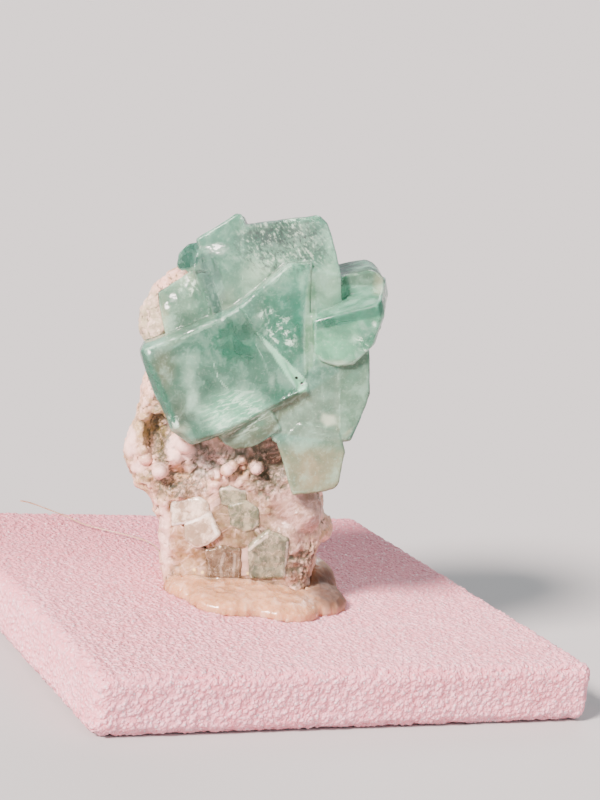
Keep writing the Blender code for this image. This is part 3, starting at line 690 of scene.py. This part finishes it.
def makeFluoriteMaterial():
    material, board = newMaterial("greenFluorite")
    point = board.point()
    ragged = board.stirred(point, 2.0, 1.4)
    colour = board.attribute("paint", "Color")
    milk = board.attribute("milk", "Fac")
    lines = board.attribute("lines", "Fac")
    # drifting clouds everywhere, streaks in the bright window, and specks under the top
    drift = board.stirred(board.stirred(point, 4.0, 3.4), 1.6, 0.8)
    cloud = board.noise(drift, 3.0, 3.0, 0.55)
    wisp = board.streaks(drift, 0.9, 0.9, 3.0)
    fine = board.noise(point, 0.45, 3.0, 0.6)
    window = board.spot(ragged, *fluorite["window"])
    drawn = board.streaks(board.stirred(point, 2.0, 0.8), 0.42, 0.34, 7.0)
    veil = board.spot(ragged, *fluorite["veil"], 0.5)
    grains = board.streaks(point, -0.9, 0.42, 1.8, 4.0)
    grain = board.rise(board.noise(drift, 1.6, 3.0, 0.6), 0.36, 0.62)
    lively = board.spots(ragged, fluoriteSparks, 0.6)
    flake = board.streaks(board.stirred(point, 1.2, 1.6), -0.5, 0.85, 1.5, 6.0)
    colour = board.wash(colour, [
        (cloud, 0.5, 0.7, 0.42, fluorite["mist"]),
        (cloud, 0.5, 0.3, 0.38, fluorite["shadow"]),
        (wisp, 0.55, 0.72, 0.28, fluorite["mist"]),
        (fine, 0.52, 0.75, 0.16, fluorite["flash"]),
        (drawn, 0.5, 0.6, window * 0.6, tone(204, 238, 216)),
        (drawn, 0.5, 0.38, window * 0.5, tone(82, 146, 120)),
        (grains, 0.5, 0.58, veil * (1.0 - grain * 0.6), tone(74, 80, 80)),
        (grains, 0.48, 0.38, veil * grain * 0.85, tone(190, 208, 190)),
        (flake, 0.48, 0.38, lively * 0.5, fluorite["shadow"]),
    ])
    # pale flecks of the inclusions, painted bright for their sparkle: partly painted highlight
    flash = board.rise(flake, 0.51, 0.62) * lively
    colour = board.tint(flash * 0.85, colour, fluorite["flash"])
    # pale lines, partly painted highlight along the crystals' edges
    colour = board.tint(lines, colour, fluorite["line"])
    # painted highlight: convex edges are coloured paler, and made rougher too
    rim = board.rise(board.attribute("edge", "Fac"), 0.24, 0.7)
    colour = board.tint(rim * 0.2, colour, fluorite["line"])
    for middle, size in darkDots:
        dot = board.spot(point, middle, (size, 1.2, size), 0.2)
        colour = board.tint(dot, colour, tone(24, 28, 26))
    milk = milk + rim * 0.15 + flash * 0.4 + lines * 0.2 + board.rise(cloud, 0.45, 0.6) * 0.15
    height = board.noise(point, 2.4, 3.0, 0.5) * 0.12 + board.noise(point, 0.5, 3.0) * 0.02
    height = height + board.shards(point, 3.4) * 0.03
    normal = board.bump(height)
    paintedHalo = board.spots(board.stirred(point, 0.8, 1.2), fluoriteGlints, 0.9)
    burst = board.rise(board.streaks(board.stirred(point, 0.8, 0.6), 0.1, 0.5, 2.6, 4.0), 0.44, 0.54)
    glint = paintedHalo * burst
    normal = board.vector("ADD", normal, board.scaled(fluorite["glintTurn"], glint))
    normal = board.vector("NORMALIZE", normal)
    # painted highlight: a pale halo is coloured round each glint
    colour = board.tint(paintedHalo * 0.36, colour, tone(228, 246, 234))
    gloss = 0.12 + board.rise(board.noise(point, 3.0), 0.4, 0.7) * 0.14 + glint * 0.16
    gloss = gloss + rim * 0.6 + lines * 0.4 + board.spot(point, *fluorite["dullEdge"]) * 0.35
    clear = board.principled(
        Base_Color=tone(232, 250, 240), Roughness=gloss, Normal=normal, IOR=fluorite["ior"],
        Transmission_Weight=1.0,
    )
    milky = board.principled(
        Base_Color=colour, Roughness=gloss, Normal=normal, IOR=fluorite["ior"],
        Subsurface_Weight=0.55, Subsurface_Radius=(0.6, 1.0, 0.85), Subsurface_Scale=0.0025,
    )
    shader = board.blend(board.maths("MINIMUM", milk, 0.97), clear, milky)
    board.finish(shader, fluorite["absorb"], fluorite["density"])
    return material


def paintFluorite(board, geometry, point):
    # colours each crystal face and the zones in it, as attributes on the mesh
    ragged = board.stirred(point, 2.0, 1.4)
    near = board.stirred(point, 0.9, 0.35)
    flat = board.vector("MULTIPLY", near, (1.0, 0.0, 1.0))
    across = board.part(point, "Y")
    front = board.rise(across, -2.5, -5.5)
    cloud = board.noise(ragged, 4.0, 4.0, 0.6)
    colour = board.tint(board.rise(cloud, 0.38, 0.62), fluorite["mid"], fluorite["pale"])
    milk = board.rise(cloud, 0.35, 0.65) * 0.2 + 0.6

    def facesOf(table):
        return [(board.pane(near, corners, soft) * front, shade, milky)
                for shade, milky, soft, corners in table.values()]

    zones = []
    for y, deep, rows in fluoriteZones:
        for (x, z), (wide, high), shade, strength, milky in rows:
            share = board.spot(ragged, (x, y, z), (wide, deep, high), 0.6) * strength
            zones.append((share, shade, milky))
    for share, shade, milky in facesOf(fluoriteFaces) + zones + facesOf(fluoriteTrims):
        colour = board.tint(share, colour, tone(*shade))
        milk = milk + (milky - milk) * share
    drawn = [board.stroke(flat, places, width) * strength for places, width, strength in fluoriteLines]
    lines = board.pick("MAXIMUM", drawn) * front * board.rise(board.noise(point, 1.2, 2.0), 0.3, 0.6)
    geometry = board.keep(geometry, "paint", colour, "FLOAT_COLOR")
    geometry = board.keep(geometry, "milk", milk)
    return board.keep(geometry, "lines", lines)


def fillClefts(board, geometry, point):
    # brings the floor of each cleft up to a sloping face
    for corners, (start, slopeX, slopeZ), soft in fluoriteFills:
        face = board.dot(point, (slopeX, -1.0, slopeZ)) + start
        share = board.pane(point, corners, soft)
        share = share * board.rise(board.part(point, "Y"), -3.0, -4.0)
        offset = board.scaled((0.0, 1.0, 0.0), board.maths("MINIMUM", face, 0.0) * share)
        geometry = board.shift(geometry, offset)
    return geometry


facets = {"steps": 14.0, "edges": (3, 0.1)}


def shapeCrystals(node, material, look, main=False):
    piece = copyOfNode(node, node + "_faces", 1, filled=look["filled"], depth=look["depth"])
    markEdges(piece.data, *facets["edges"])

    def build(board, inputs):
        point = board.add("GeometryNodeInputPosition")
        geometry = inputs["Geometry"]
        if main:
            geometry = fillClefts(board, paintFluorite(board, geometry, point), point)
            drawn = board.scaled(fluorite["drawnOut"], board.spot(point, *fluorite["drawnCorner"], 0.6))
            geometry = board.shift(geometry, drawn)
        wave = (board.noise(point, 3.4, 2.0) - 0.5) * inputs["Wave"]
        ripple = (board.noise(point, 1.3, 2.0) - 0.5) * inputs["Ripple"]
        steps = board.maths("FLOOR", board.noise(point, 4.5, 1.0) * facets["steps"]) / facets["steps"]
        edge = board.add("GeometryNodeInputNamedAttribute", {"data_type": "FLOAT"}, {"Name": "edge"})
        chips = board.rise(edge, 0.15, 0.7) * board.rise(board.noise(point, 1.3, 2.0), 0.5, 0.7)
        height = wave + ripple + (steps - 0.5) * inputs["Steps"] - chips * inputs["Chips"]
        return wear(board, pushOut(board, geometry, height), material)

    growShape(piece, node + "Relief", look["relief"], build)
    return piece


# The small crystals low on the rock

lump = {
    "filled": 0.9,
    "depth": 6,
    "relief": {"Wave": 0.5, "Ripple": 0.35, "Steps": 0.25, "Chips": 0.4},
    "setBack": 0.3,  # how far back they stand while the rock is drawn up to them
    "swell": 0.16,
}
# their colours, how milky they are, and what they take out of the light
lowerCrystals = {
    "fluorite_lower_left": {
        "slot": "pale_fluorite", "lean": 0.4, "ridge": 1.0, "width": 0.38,
        "dark": tone(202, 176, 148), "light": tone(250, 228, 206), "milk": 0.6,
        "absorb": (0.86, 0.86, 0.74, 1.0), "density": 30.0,
        "ridges": [[(-12.2, 11.7), (-9.4, 12.4), (-6.7, 13.6)],
                   [(-5.9, 12.2), (-5.2, 10.4), (-6.9, 8.8), (-8.4, 8.4), (-9.8, 9)]],
    },
    "fluorite_lower_middle": {
        "slot": "pale_fluorite", "lean": 1.2, "ridge": 0.35, "width": 0.3,
        "dark": tone(132, 138, 110), "light": tone(184, 176, 146), "milk": 0.5,
        "absorb": (0.7, 0.82, 0.6, 1.0), "density": 60.0,
        "ridges": [[(-5.1, 17.4), (-2.8, 17.6), (-0.7, 17.1)], [(-3.3, 11.6), (-0.2, 10.5), (0.9, 12.4)]],
    },
    "fluorite_lower_right": {
        "slot": "pale_fluorite", "lean": 1.4, "ridge": 0.45, "width": 0.3,
        "dark": tone(116, 122, 100), "light": tone(154, 150, 124), "milk": 0.5,
        "absorb": (0.7, 0.82, 0.6, 1.0), "density": 60.0,
        "ridges": [[(5.5, 9.3), (5.3, 6.4), (5, 3.4)], [(-0.7, 8), (2.4, 10.4)]],
    },
    "clear_crystal_base": {
        "slot": "clear_crystal", "lean": 1.5, "ridge": 0.25, "width": 0.34,
        "dark": tone(124, 104, 80), "light": tone(154, 130, 106), "milk": 0.45,
        "absorb": (0.84, 0.68, 0.5, 1.0), "density": 100.0,
        "ridges": [[(-4.2, 7.4), (-4.8, 5.4), (-4.6, 3.4)], [(-2.6, 7.2), (-2.8, 4)]],
    },
}


def makeSmallCrystalMaterial(name, look):
    material, board = newMaterial(name + "Glass")
    point = board.point()
    drift = board.stirred(board.stirred(point, 2.4, 2.0), 1.0, 0.6)
    cloud = board.noise(drift, 1.6, 4.0, 0.6)
    colour = board.tint(board.rise(cloud, 0.38, 0.64), look["dark"], look["light"])
    grain = board.streaks(drift, look["lean"], 0.5, 5.0)
    colour = board.wash(colour, [
        (grain, 0.54, 0.66, 0.3, tone(250, 226, 202)),
        (grain, 0.46, 0.34, 0.3, look["dark"]),
    ])
    flat = board.vector("MULTIPLY", board.stirred(point, 0.8, 0.5), (1.0, 0.0, 1.0))
    ridge = board.pick("MAXIMUM", [board.stroke(flat, places, look["width"]) for places in look["ridges"]])
    # painted highlight: edges and ridges are coloured near white
    edgeHighlight = board.rise(board.attribute("edge", "Fac"), 0.25, 0.9) * 0.12
    rim = board.maths("MAXIMUM", edgeHighlight, ridge * look["ridge"])
    colour = board.tint(rim, colour, tone(255, 238, 222))
    cracks = board.veins(point, 2.6, 0.012)
    colour = board.tint(cracks * 0.4, colour, tone(246, 222, 196))
    milk = look["milk"] + board.rise(cloud, 0.4, 0.65) * 0.3 + rim * 0.3
    normal = board.bump(board.noise(point, 1.1, 4.0, 0.6) * 0.12 + board.shards(point, 1.6) * 0.14)
    clear = board.principled(
        Base_Color=tone(248, 240, 224), Roughness=0.1, Normal=normal, IOR=1.45, Transmission_Weight=1.0,
    )
    milky = board.principled(
        Base_Color=colour, Roughness=0.16, Normal=normal, IOR=1.45,
        Subsurface_Weight=0.5, Subsurface_Radius=(1.0, 0.9, 0.75), Subsurface_Scale=0.002,
    )
    shader = board.blend(board.maths("MINIMUM", milk, 0.95), clear, milky)
    board.finish(shader, look["absorb"], look["density"])
    return material


# Matrix rock

rock = {
    "voxel": 0.29,
    "relief": {
        "Coarse": 0.55, "Fine": 0.6, "Chips": 0.3, "Grain": 0.35, "Lump": 0.12, "Foot": 0.4, "Bank": 0.75,
    },
    "foot": (1.2, 0.6),  # heights over the slab between which the foot is drawn down
    "bankReach": 2.4,
    "hug": (1.6, 0.7),  # distances from the crystals between which the rock is drawn up to them
    "edges": (5, 0.16),  # rounds of smoothing, and how far a full edge stands out
    "pale": tone(242, 190, 172),
    "blush": tone(190, 156, 118),
    "white": tone(252, 212, 200),
    "olive": tone(128, 112, 58),
    "dark": tone(66, 62, 42),
    "grey": tone(84, 80, 64),
    "beige": tone(146, 112, 74),
    "mauve": tone(120, 123, 117),
    "creviceShade": tone(90, 87, 66),
    "grooved": ((6.8, -8.0, 13.4), (4.6, 4.0, 3.6)),
}
# where the rock is coloured differently: middle, half widths, colour and strength
rockPatches = [
    ((-16, -8, 26.6), (2.6, 4, 2.4), tone(184, 156, 106), 0.9),
    ((-14, -8.5, 26.6), (1.4, 4, 4.6), rock["olive"], 1),
    ((-13.6, -8.5, 23.6), (1.1, 4, 2.8), tone(92, 82, 42), 0.95),
    ((-12.6, -8.5, 27.4), (0.8, 4, 0.9), tone(52, 42, 26), 0.9),
    ((-10.6, -8.5, 20.2), (2.4, 6, 1.6), tone(184, 144, 98), 0.85),
    ((-12.4, -9, 17.6), (2.6, 6, 1.2), tone(122, 96, 54), 0.9),
    ((-9.4, -9, 17.2), (2.6, 6, 1.3), tone(118, 94, 72), 0.85),
    ((-16, -8.5, 19.4), (1.6, 6, 1), rock["olive"], 0.75),
    ((2.8, -8.5, 20.4), (3.4, 3.4, 4.6), rock["grey"], 0.9),
    ((-1, -8.5, 23.8), (2.4, 3.4, 1.4), rock["grey"], 0.7),
    ((-5.4, -8, 23), (4.6, 3, 2.8), rock["mauve"], 0.85),
    ((-7.4, -8, 20.6), (2.2, 3, 1.8), rock["mauve"], 0.7),
    ((-5, -8, 8.4), (9, 4, 7.2), rock["beige"], 0.9),
    ((-4.4, -8, 13.4), (1.6, 3, 3.4), tone(150, 128, 92), 0.6),
    ((-9.6, -8, 5.4), (3.4, 3, 2), tone(166, 128, 84), 0.7),
    ((-2, -8, 3.4), (7, 4, 1.6), tone(146, 110, 64), 0.7),
    ((0, -8, 7.6), (0.8, 3, 2.6), tone(226, 182, 164), 0.7),
    ((5.9, -8, 6), (0.6, 3, 3.4), tone(70, 54, 38), 0.8),
    # darker in the recess low on the right
    ((7.9, -8, 4.9), (2.4, 3, 3.6), tone(120, 86, 64), 0.85),
    ((7.6, -8, 13.6), (4.6, 6, 4.4), tone(156, 124, 114), 0.85),
    ((-13.6, -8, 9.6), (0.9, 3, 6.4), rock["white"], 0.85),
    ((-1.6, -8, 13.6), (4, 8, 5), tone(122, 108, 76), 0.85),
    ((2.4, -8, 6.8), (4.6, 8, 5), tone(120, 108, 82), 0.8),
    ((-3.6, -8, 5.4), (3.8, 8, 3.6), tone(112, 90, 62), 0.85),
    ((-6.6, -8, 6.8), (2.6, 8, 2.4), tone(128, 100, 62), 0.7),
    ((-15.4, -6, 43), (3.4, 6, 5), tone(190, 182, 150), 0.85),
    ((-2, 9, 22), (6, 4, 5), rock["olive"], 0.6),
    ((5, 9, 33), (5, 4, 4), rock["grey"], 0.6),
    ((-9, 8, 12), (4, 4, 5), rock["beige"], 0.6),
    ((-12, 6, 40), (4, 4, 4), rock["olive"], 0.4),
    ((8, 4, 16), (4, 4, 5), rock["mauve"], 0.5),
    ((2, 9, 10), (5, 4, 4), rock["pale"], 0.5),
]
# granular parts, where dark and light grains lie side by side
rockGranular = [
    ((-14, -8.5, 25.6), (1.5, 4, 4.8)), ((2.4, -8.5, 20.8), (3.8, 3.4, 4.6)),
    ((-11.2, -9, 18), (4.4, 6, 1.8)), ((-5, -8, 22.6), (4.2, 3, 1.8)),
    ((7.9, -8, 4.9), (2.6, 3, 3.4)),
    ((-2, 9, 22), (6, 4, 5)), ((5, 9, 33), (5, 4, 4)),
]
# glassy parts, where the rock is a clear crystalline mass
rockGlassy = [
    ((-4.6, -8, 8.4), (8.4, 5, 7.2)), ((7.8, -8, 13.4), (4.4, 5, 3.8)),
    ((-9, 8, 10), (5, 4, 6)),
]
# smooth white growths
rockSmooth = [
    ((-13.9, -9.6, 20.4), (1.3, 2.4, 1.3)), ((0.8, -9.6, 20.8), (1, 2.4, 1)),
    ((-3.4, -9.6, 20.8), (0.9, 2.4, 0.9)), ((-10.8, -9.4, 23.7), (2.2, 2.4, 2)),
    ((-18.2, -6.6, 23.4), (1.6, 2.4, 1.6)), ((-17.2, -7, 20.6), (1.5, 2, 1.3)),
    ((-5.3, -9.4, 19.8), (0.7, 1.4, 0.7)), ((-18.3, -6.6, 25.2), (1.2, 2.4, 1.5)),
    ((-4.6, -9.4, 21.9), (0.6, 1.4, 0.6)),
]


# bright golden specks where the rock meets the glue, painted bright as sparkles (painted highlight)
paintedGoldGlints = [(-8.9, -9, 4.7), (-7.6, -9, 4.4), (-6.3, -9, 4.4), (-5.2, -9, 4.1), (-0.6, -9, 4.3)]
# round white growths: middle (x, z) on the front, and radius
rockBalls = [
    (-13.9, 20.4, 1.2), (0.8, 20.8, 0.95), (-3.7, 20.6, 1), (-2.8, 21.4, 0.8), (-1.2, 20.8, 0.5),
    (-6.3, 20.9, 0.6), (-6, 19.8, 0.7), (-16.2, 22, 1.1), (-16.6, 23.2, 0.9), (-5, 19.4, 0.4),
]


def makeRockMaterial():
    material, board = newMaterial("matrixRock")
    point = board.point()
    ragged = board.stirred(point, 1.6, 2.2)
    large = board.noise(point, 4.0, 5.0, 0.65)
    colour = board.tint(board.rise(large, 0.4, 0.6), rock["blush"], rock["pale"])
    for middle, reach, stain, strength in rockPatches:
        colour = board.tint(board.spot(ragged, middle, reach) * strength, colour, stain)
    granular = board.spots(ragged, rockGranular)
    glassy = board.spots(ragged, rockGlassy) * (1.0 - granular)
    smooth = board.spots(board.stirred(point, 1.0, 0.4), rockSmooth, 0.2)
    colour = board.tint(smooth * 0.85, colour, rock["white"])
    # each chip is a little lighter or darker than the next
    chip = board.cells(board.stirred(point, 0.6, 0.4), 0.7)
    shade = board.chance(chip)
    rough = (1.0 - smooth * 0.7) * (1.0 - glassy * 0.7)
    grit = board.noise(board.stirred(point, 1.0, 0.5), 0.55, 4.0, 0.75)
    frost = board.noise(point, 1.1, 5.0, 0.75)
    # bright joints between the glassy facets
    joint = board.cells(board.stirred(point, 1.2, 0.8), 3.0, feature="DISTANCE_TO_EDGE")
    broken = board.rise(board.noise(point, 2.0), 0.45, 0.6)
    drift = board.stirred(board.stirred(point, 3.0, 2.6), 1.2, 0.8)
    melt = board.noise(drift, 2.0, 4.0, 0.6)
    groove = board.streaks(board.stirred(point, 2.0, 1.0), 0.7, 0.5, 5.0)
    groove = groove * board.spot(ragged, *rock["grooved"])
    edge = board.attribute("edge", "Fac")
    colour = board.wash(colour, [
        (shade, 0.7, 1.0, (0.4 - granular * 0.25) * rough, rock["white"]),
        (shade, 0.36, 0.0, (0.25 + granular * 0.5) * rough, rock["dark"]),
        (grit, 0.52, 0.62, granular * 0.8 + 0.1, rock["dark"]),
        (grit, 0.47, 0.38, granular * 0.6, tone(216, 180, 156)),
        (frost, 0.5, 0.66, 0.5 - glassy * 0.35 - granular * 0.38, rock["white"]),
        (joint, 0.05, 0.0, glassy * broken * 0.45, rock["white"]),
        (melt, 0.5, 0.66, glassy * 0.35, tone(216, 184, 156)),
        (melt, 0.5, 0.34, glassy * 0.4, tone(124, 94, 64)),
        (groove, 0.48, 0.62, 0.5, tone(224, 186, 176)),
        # painted shade darker in the creases, and painted highlight paler on the convex edges
        (edge, 0.0, -0.6, 0.85 - glassy * 0.7, rock["creviceShade"]),
        (edge, 0.3, 0.9, 0.4 - granular * 0.25, rock["white"]),
    ])
    # painted glints: golden spots coloured bright
    for place in paintedGoldGlints:
        speck = board.spot(point, place, (0.24, 3.0, 0.24), 0.5)
        colour = board.tint(speck, colour, tone(255, 226, 150))
    height = board.shards(point, 0.62) * 0.5 + board.noise(point, 0.3, 3.0, 0.6) * 0.09
    height = height * (1.0 - smooth * 0.6) * (1.0 - glassy * 0.6) + board.shards(point, 2.2) * glassy * 0.3
    normal = board.bump(height)
    shader = board.principled(
        Base_Color=colour, Roughness=0.34 + board.chance(chip, "Y") * 0.35 - glassy * 0.15, Normal=normal,
        Subsurface_Weight=0.15, Subsurface_Radius=(1.0, 0.9, 0.85), Subsurface_Scale=0.0008,
    )
    board.finish(shader)
    return material


def addBalls(piece):
    # sets round growths on the front of the rock, half sunk in it
    points = [point.co for point in piece.data.vertices]
    skin = BVHTree.FromPolygons(points, [face.vertices for face in piece.data.polygons])
    shape = bmesh.new()
    shape.from_mesh(piece.data)
    for x, z, radius in rockBalls:
        place = skin.ray_cast(Vector((x, -40.0, z)), Vector((0.0, 1.0, 0.0)))[0]
        turn = Matrix.Translation((x, place.y + radius * 0.25, z))
        bmesh.ops.create_icosphere(shape, subdivisions=3, radius=radius, matrix=turn)
    shape.to_mesh(piece.data)
    shape.free()


def shapeRock(material, crystals, sunken):
    piece = copyOfNode("matrix_rock", "matrix_rock_relief", 1, voxel=rock["voxel"])

    def build(board, inputs):
        point = board.add("GeometryNodeInputPosition")
        ragged = board.stirred(point, 1.6, 2.0)
        coarse = (board.noise(point, 2.6, 3.0, 0.6) - 0.5) * inputs["Coarse"]
        fine = (board.noise(point, 0.8, 3.0, 0.7) - 0.5) * inputs["Fine"]
        chips = board.shards(point, 1.9) * inputs["Chips"]
        granular = board.spots(ragged, rockGranular)
        glassy = board.spots(ragged, rockGlassy)
        grain = board.rise(board.cells(ragged, 0.7), 0.7, 0.1) - 0.5
        smooth = board.spots(point, rockSmooth, 0.4)
        height = (coarse + fine) * (1.0 - glassy * 0.75) + chips * (1.0 - glassy * 0.6)
        height = (height + granular * grain * inputs["Grain"]) * (1.0 - smooth * 0.8)
        shaped = pushOut(board, inputs["Geometry"], height + smooth * inputs["Lump"])
        shaped = sink(board, shaped, *rock["foot"], inputs["Foot"])
        shaped = bank(board, shaped, sunken, rock["bankReach"], inputs["Bank"])
        return wear(board, hug(board, shaped, crystals, *rock["hug"]), material)

    growShape(piece, "rockRelief", rock["relief"], build)
    markEdges(piece.data, *rock["edges"])
    addBalls(piece)
    return piece


# Hot glue

glue = {
    "voxel": 0.24,
    "relief": {"Folds": 0.55, "Swirl": 0.5, "Swell": 0.15, "Foot": 0.5},
    "foot": (0.9, 0.5),
    "hug": (1.4, 0.5),
    "body": tone(200, 148, 112),
    "pale": tone(226, 170, 132),
    "dull": ((13.0, -6.0, 2.0), (5.0, 9.0, 4.0)),
    "threadRadius": 0.11,
    "threadLift": 0.2,
}
# where the glue is coloured darker or lighter: middle, half widths, colour and strength
glueStainsAndShade = [
    # painted shade: darker on the right, where the rock shades the glue
    ((13, -6, 1.6), (4.2, 9, 3.4), tone(84, 56, 40), 0.95),
    ((-2, -9, 1), (7.5, 4, 1.4), tone(240, 196, 168), 0.6),
    ((-12.8, -9, 1.6), (2.4, 4, 2.2), tone(180, 130, 92), 0.6),
    ((-3, -8.6, 2.6), (9, 1.6, 1), tone(186, 136, 88), 0.6),
]
# the thread that the glue left on the slab, in millimetres of the row's frame
glueThread = [
    (-11.87, 6.84, 9.3), (-9.6, 13.4, 9.35), (-8.25, 19.39, 9.35), (-10.2, 22.6, 9.4), (-12.5, 25.51, 9.35),
    (-15.2, 28.2, 9.35), (-17.45, 30.54, 9.4), (-18.2, 33.6, 9.5), (-19.6, 34.2, 9.9), (-23.1, 33.5, 11.2),
    (-25.6, 34.6, 11.9), (-27.9, 32.3, 12.7),
]


def makeGlueMaterial():
    material, board = newMaterial("milkyGlue")
    point = board.point()
    cloud = board.noise(board.stirred(point, 3.0, 2.0), 5.0, 2.0)
    colour = board.tint(board.rise(cloud, 0.3, 0.75), glue["body"], glue["pale"])
    fold = board.noise(board.vector("MULTIPLY", board.stirred(point, 2.0, 1.0), (1.0, 1.0, 0.22)), 1.5, 3.0)
    # painted light and shade: the folds are coloured lighter on their crests and darker in their hollows,
    # as the bump follows them
    colour = board.wash(colour, [
        (fold, 0.5, 0.68, 0.4, tone(248, 208, 186)),
        (fold, 0.5, 0.32, 0.4, tone(168, 120, 74)),
    ])
    ragged = board.stirred(point, 2.0, 1.6)
    for middle, reach, stain, strength in glueStainsAndShade:
        colour = board.tint(board.spot(ragged, middle, reach) * strength, colour, stain)
    normal = board.bump(board.noise(point, 1.4, 2.0) * 0.6 + fold * 0.6, 0.3)
    dull = board.spot(point, *glue["dull"])
    gloss = 0.2 + board.noise(point, 1.0) * 0.14 + dull * 0.35
    clear = board.principled(
        Base_Color=tone(246, 232, 214), Roughness=gloss, Normal=normal, IOR=1.48, Transmission_Weight=1.0,
    )
    milky = board.principled(
        Base_Color=colour, Roughness=gloss, Normal=normal,
        Subsurface_Weight=0.8, Subsurface_Radius=(1.0, 0.75, 0.55), Subsurface_Scale=0.0024,
        Coat_Weight=0.3 - dull * 0.3, Coat_Roughness=0.08,
    )
    edge = board.rise(board.add("ShaderNodeLayerWeight", {}, {0: 0.3}, "Facing"), 0.2, 0.9)
    board.finish(board.blend(0.9 - edge * 0.25 * (1.0 - dull), clear, milky))
    return material


def shapeGlue(material, rockPiece):
    piece = copyOfNode("hot_glue", "hot_glue_skin", 3, voxel=glue["voxel"])

    def build(board, inputs):
        point = board.add("GeometryNodeInputPosition")
        # folds run down the side, so the pattern is drawn out along z
        flat = board.vector("MULTIPLY", point, (1.0, 1.0, 0.25))
        folds = board.noise(flat, 1.5, 2.0) - 0.5
        swirl = board.noise(point, 4.0, 2.0) - 0.5
        height = folds * inputs["Folds"] + swirl * inputs["Swirl"] + inputs["Swell"]
        shaped = sink(board, pushOut(board, inputs["Geometry"], height), *glue["foot"], inputs["Foot"])
        return wear(board, hug(board, shaped, [rockPiece], *glue["hug"]), material)

    growShape(piece, "glueFolds", glue["relief"], build)
    thread = bpy.data.curves.new("thread", "CURVE")
    thread.dimensions = "3D"
    thread.bevel_depth = glue["threadRadius"]
    thread.bevel_resolution = 1
    thread.use_fill_caps = True
    thread.resolution_u = 6
    line = thread.splines.new("NURBS")
    line.points.add(len(glueThread) - 1)
    line.use_endpoint_u = True
    for knot, place in zip(line.points, glueThread):
        knot.co = (*place, 1.0)
        knot.co.z += glue["threadLift"]
    drawn = newPiece("thread", thread)
    threadMesh = plainMesh(drawn)
    bpy.data.objects.remove(drawn)
    threadMesh.transform(toSpecimen @ Matrix.Scale(mm, 4))
    shape = bmesh.new()
    shape.from_mesh(piece.data)
    shape.from_mesh(threadMesh)
    shape.to_mesh(piece.data)
    shape.free()
    return piece


# Stage, lights and camera

stage = {
    "floorSide": 60.0,
    "floor": tone(184, 184, 184),
    "world": (0.47, 0.48, 0.5),
}
lamps = {
    "key": {"from": (-0.8, -0.35, 0.62), "strength": 13.5, "angle": 0.24, "colour": (1.0, 0.84, 0.8)},
    "fill": {"from": (0.5, -0.9, 0.5), "strength": 0.9, "angle": 0.6, "colour": (0.95, 0.97, 1.0)},
    "back": {"from": (0.6, 0.8, 0.8), "strength": 1.3, "angle": 0.5, "colour": (1.0, 1.0, 1.0)},
}
cameraSetup = {
    "place": (-0.1350, -0.2689, 0.0963),
    "forward": (0.4523, 0.8724, -0.1855),
    "right": (0.8908, -0.4319, 0.1409),
    "lens": 88.5,
    "sensorWidth": 36.0,
    "nearest": 0.01,
}


def makeStage():
    side = stage["floorSide"] / 2
    corners = [(-side, -side, 0), (side, -side, 0), (side, side, 0), (-side, side, 0)]
    mesh = bpy.data.meshes.new("floor")
    mesh.from_pydata(corners, [], [(0, 1, 2, 3)])
    floor = newPiece("floor", mesh)
    material, board = newMaterial("paleFloor")
    point = board.add("ShaderNodeTexCoord", out="Object")
    colour = board.tint(board.noise(point, 0.4) * 0.1, stage["floor"], tone(190, 190, 190))
    board.finish(board.add("ShaderNodeBsdfDiffuse", {}, {"Color": colour}))
    mesh.materials.append(material)
    light = Vector(stage["world"])
    for name, spec in lamps.items():
        lamp = bpy.data.lights.new(name, "SUN")
        lamp.energy = spec["strength"]
        lamp.angle = spec["angle"]
        lamp.color = spec["colour"]
        towards = Vector(spec["from"]).normalized()
        light += Vector(spec["colour"]) * spec["strength"] * towards.z / np.pi
        newPiece(name, lamp).rotation_euler = towards.to_track_quat("Z", "Y").to_euler()
    # seen by the camera, the room is as bright as the lit floor, so that no horizon shows
    haze = [share * bright for share, bright in zip(stage["floor"], light)]
    world = bpy.data.worlds.new("softRoom")
    world.use_nodes = True
    sky = Board(world.node_tree)
    seen = sky.add("ShaderNodeLightPath", out="Is Camera Ray")
    colour = sky.tint(seen, (*stage["world"], 1.0), (*haze, 1.0))
    shown = sky.add("ShaderNodeBackground", {}, {"Color": colour})
    sky.add("ShaderNodeOutputWorld", {}, {"Surface": shown})
    bpy.context.scene.world = world


def makeCamera():
    lens = bpy.data.cameras.new("camera")
    lens.lens = cameraSetup["lens"]
    lens.sensor_width = cameraSetup["sensorWidth"]
    lens.clip_start = cameraSetup["nearest"]
    camera = newPiece("camera", lens)
    forward = Vector(cameraSetup["forward"]).normalized()
    right = Vector(cameraSetup["right"]).normalized()
    turn = Matrix((right, right.cross(forward), -forward)).transposed()
    camera.matrix_world = Matrix.Translation(cameraSetup["place"]) @ turn.to_4x4()
    bpy.context.scene.camera = camera


makeCamera()
makeStage()
print("stage ready")
makeFoam()
fluoriteLook = makeFluoriteMaterial()
cluster = shapeCrystals("fluorite_cluster", fluoriteLook, fluorite, main=True)
looks = {node: makeSmallCrystalMaterial(node, look) for node, look in lowerCrystals.items()}
small = {node: shapeCrystals(node, looks[node], lump) for node in lowerCrystals}
print("crystals shaped")
rockLook = makeRockMaterial()
for piece in small.values():
    piece.data.transform(Matrix.Translation((0.0, lump["setBack"], 0.0)))
matrixRock = shapeRock(rockLook, [cluster, *small.values()], list(small.values()))
for piece in small.values():
    swell(piece, lump["swell"])
print("rock shaped")
glueLook = makeGlueMaterial()
hotGlue = shapeGlue(glueLook, matrixRock)
complete(cluster, "fluorite_cluster", "fluorite", fluoriteLook)
for node, look in lowerCrystals.items():
    complete(small[node], node, look["slot"], looks[node])
complete(matrixRock, "matrix_rock", "matrix", rockLook)
complete(hotGlue, "hot_glue", "glue", glueLook)
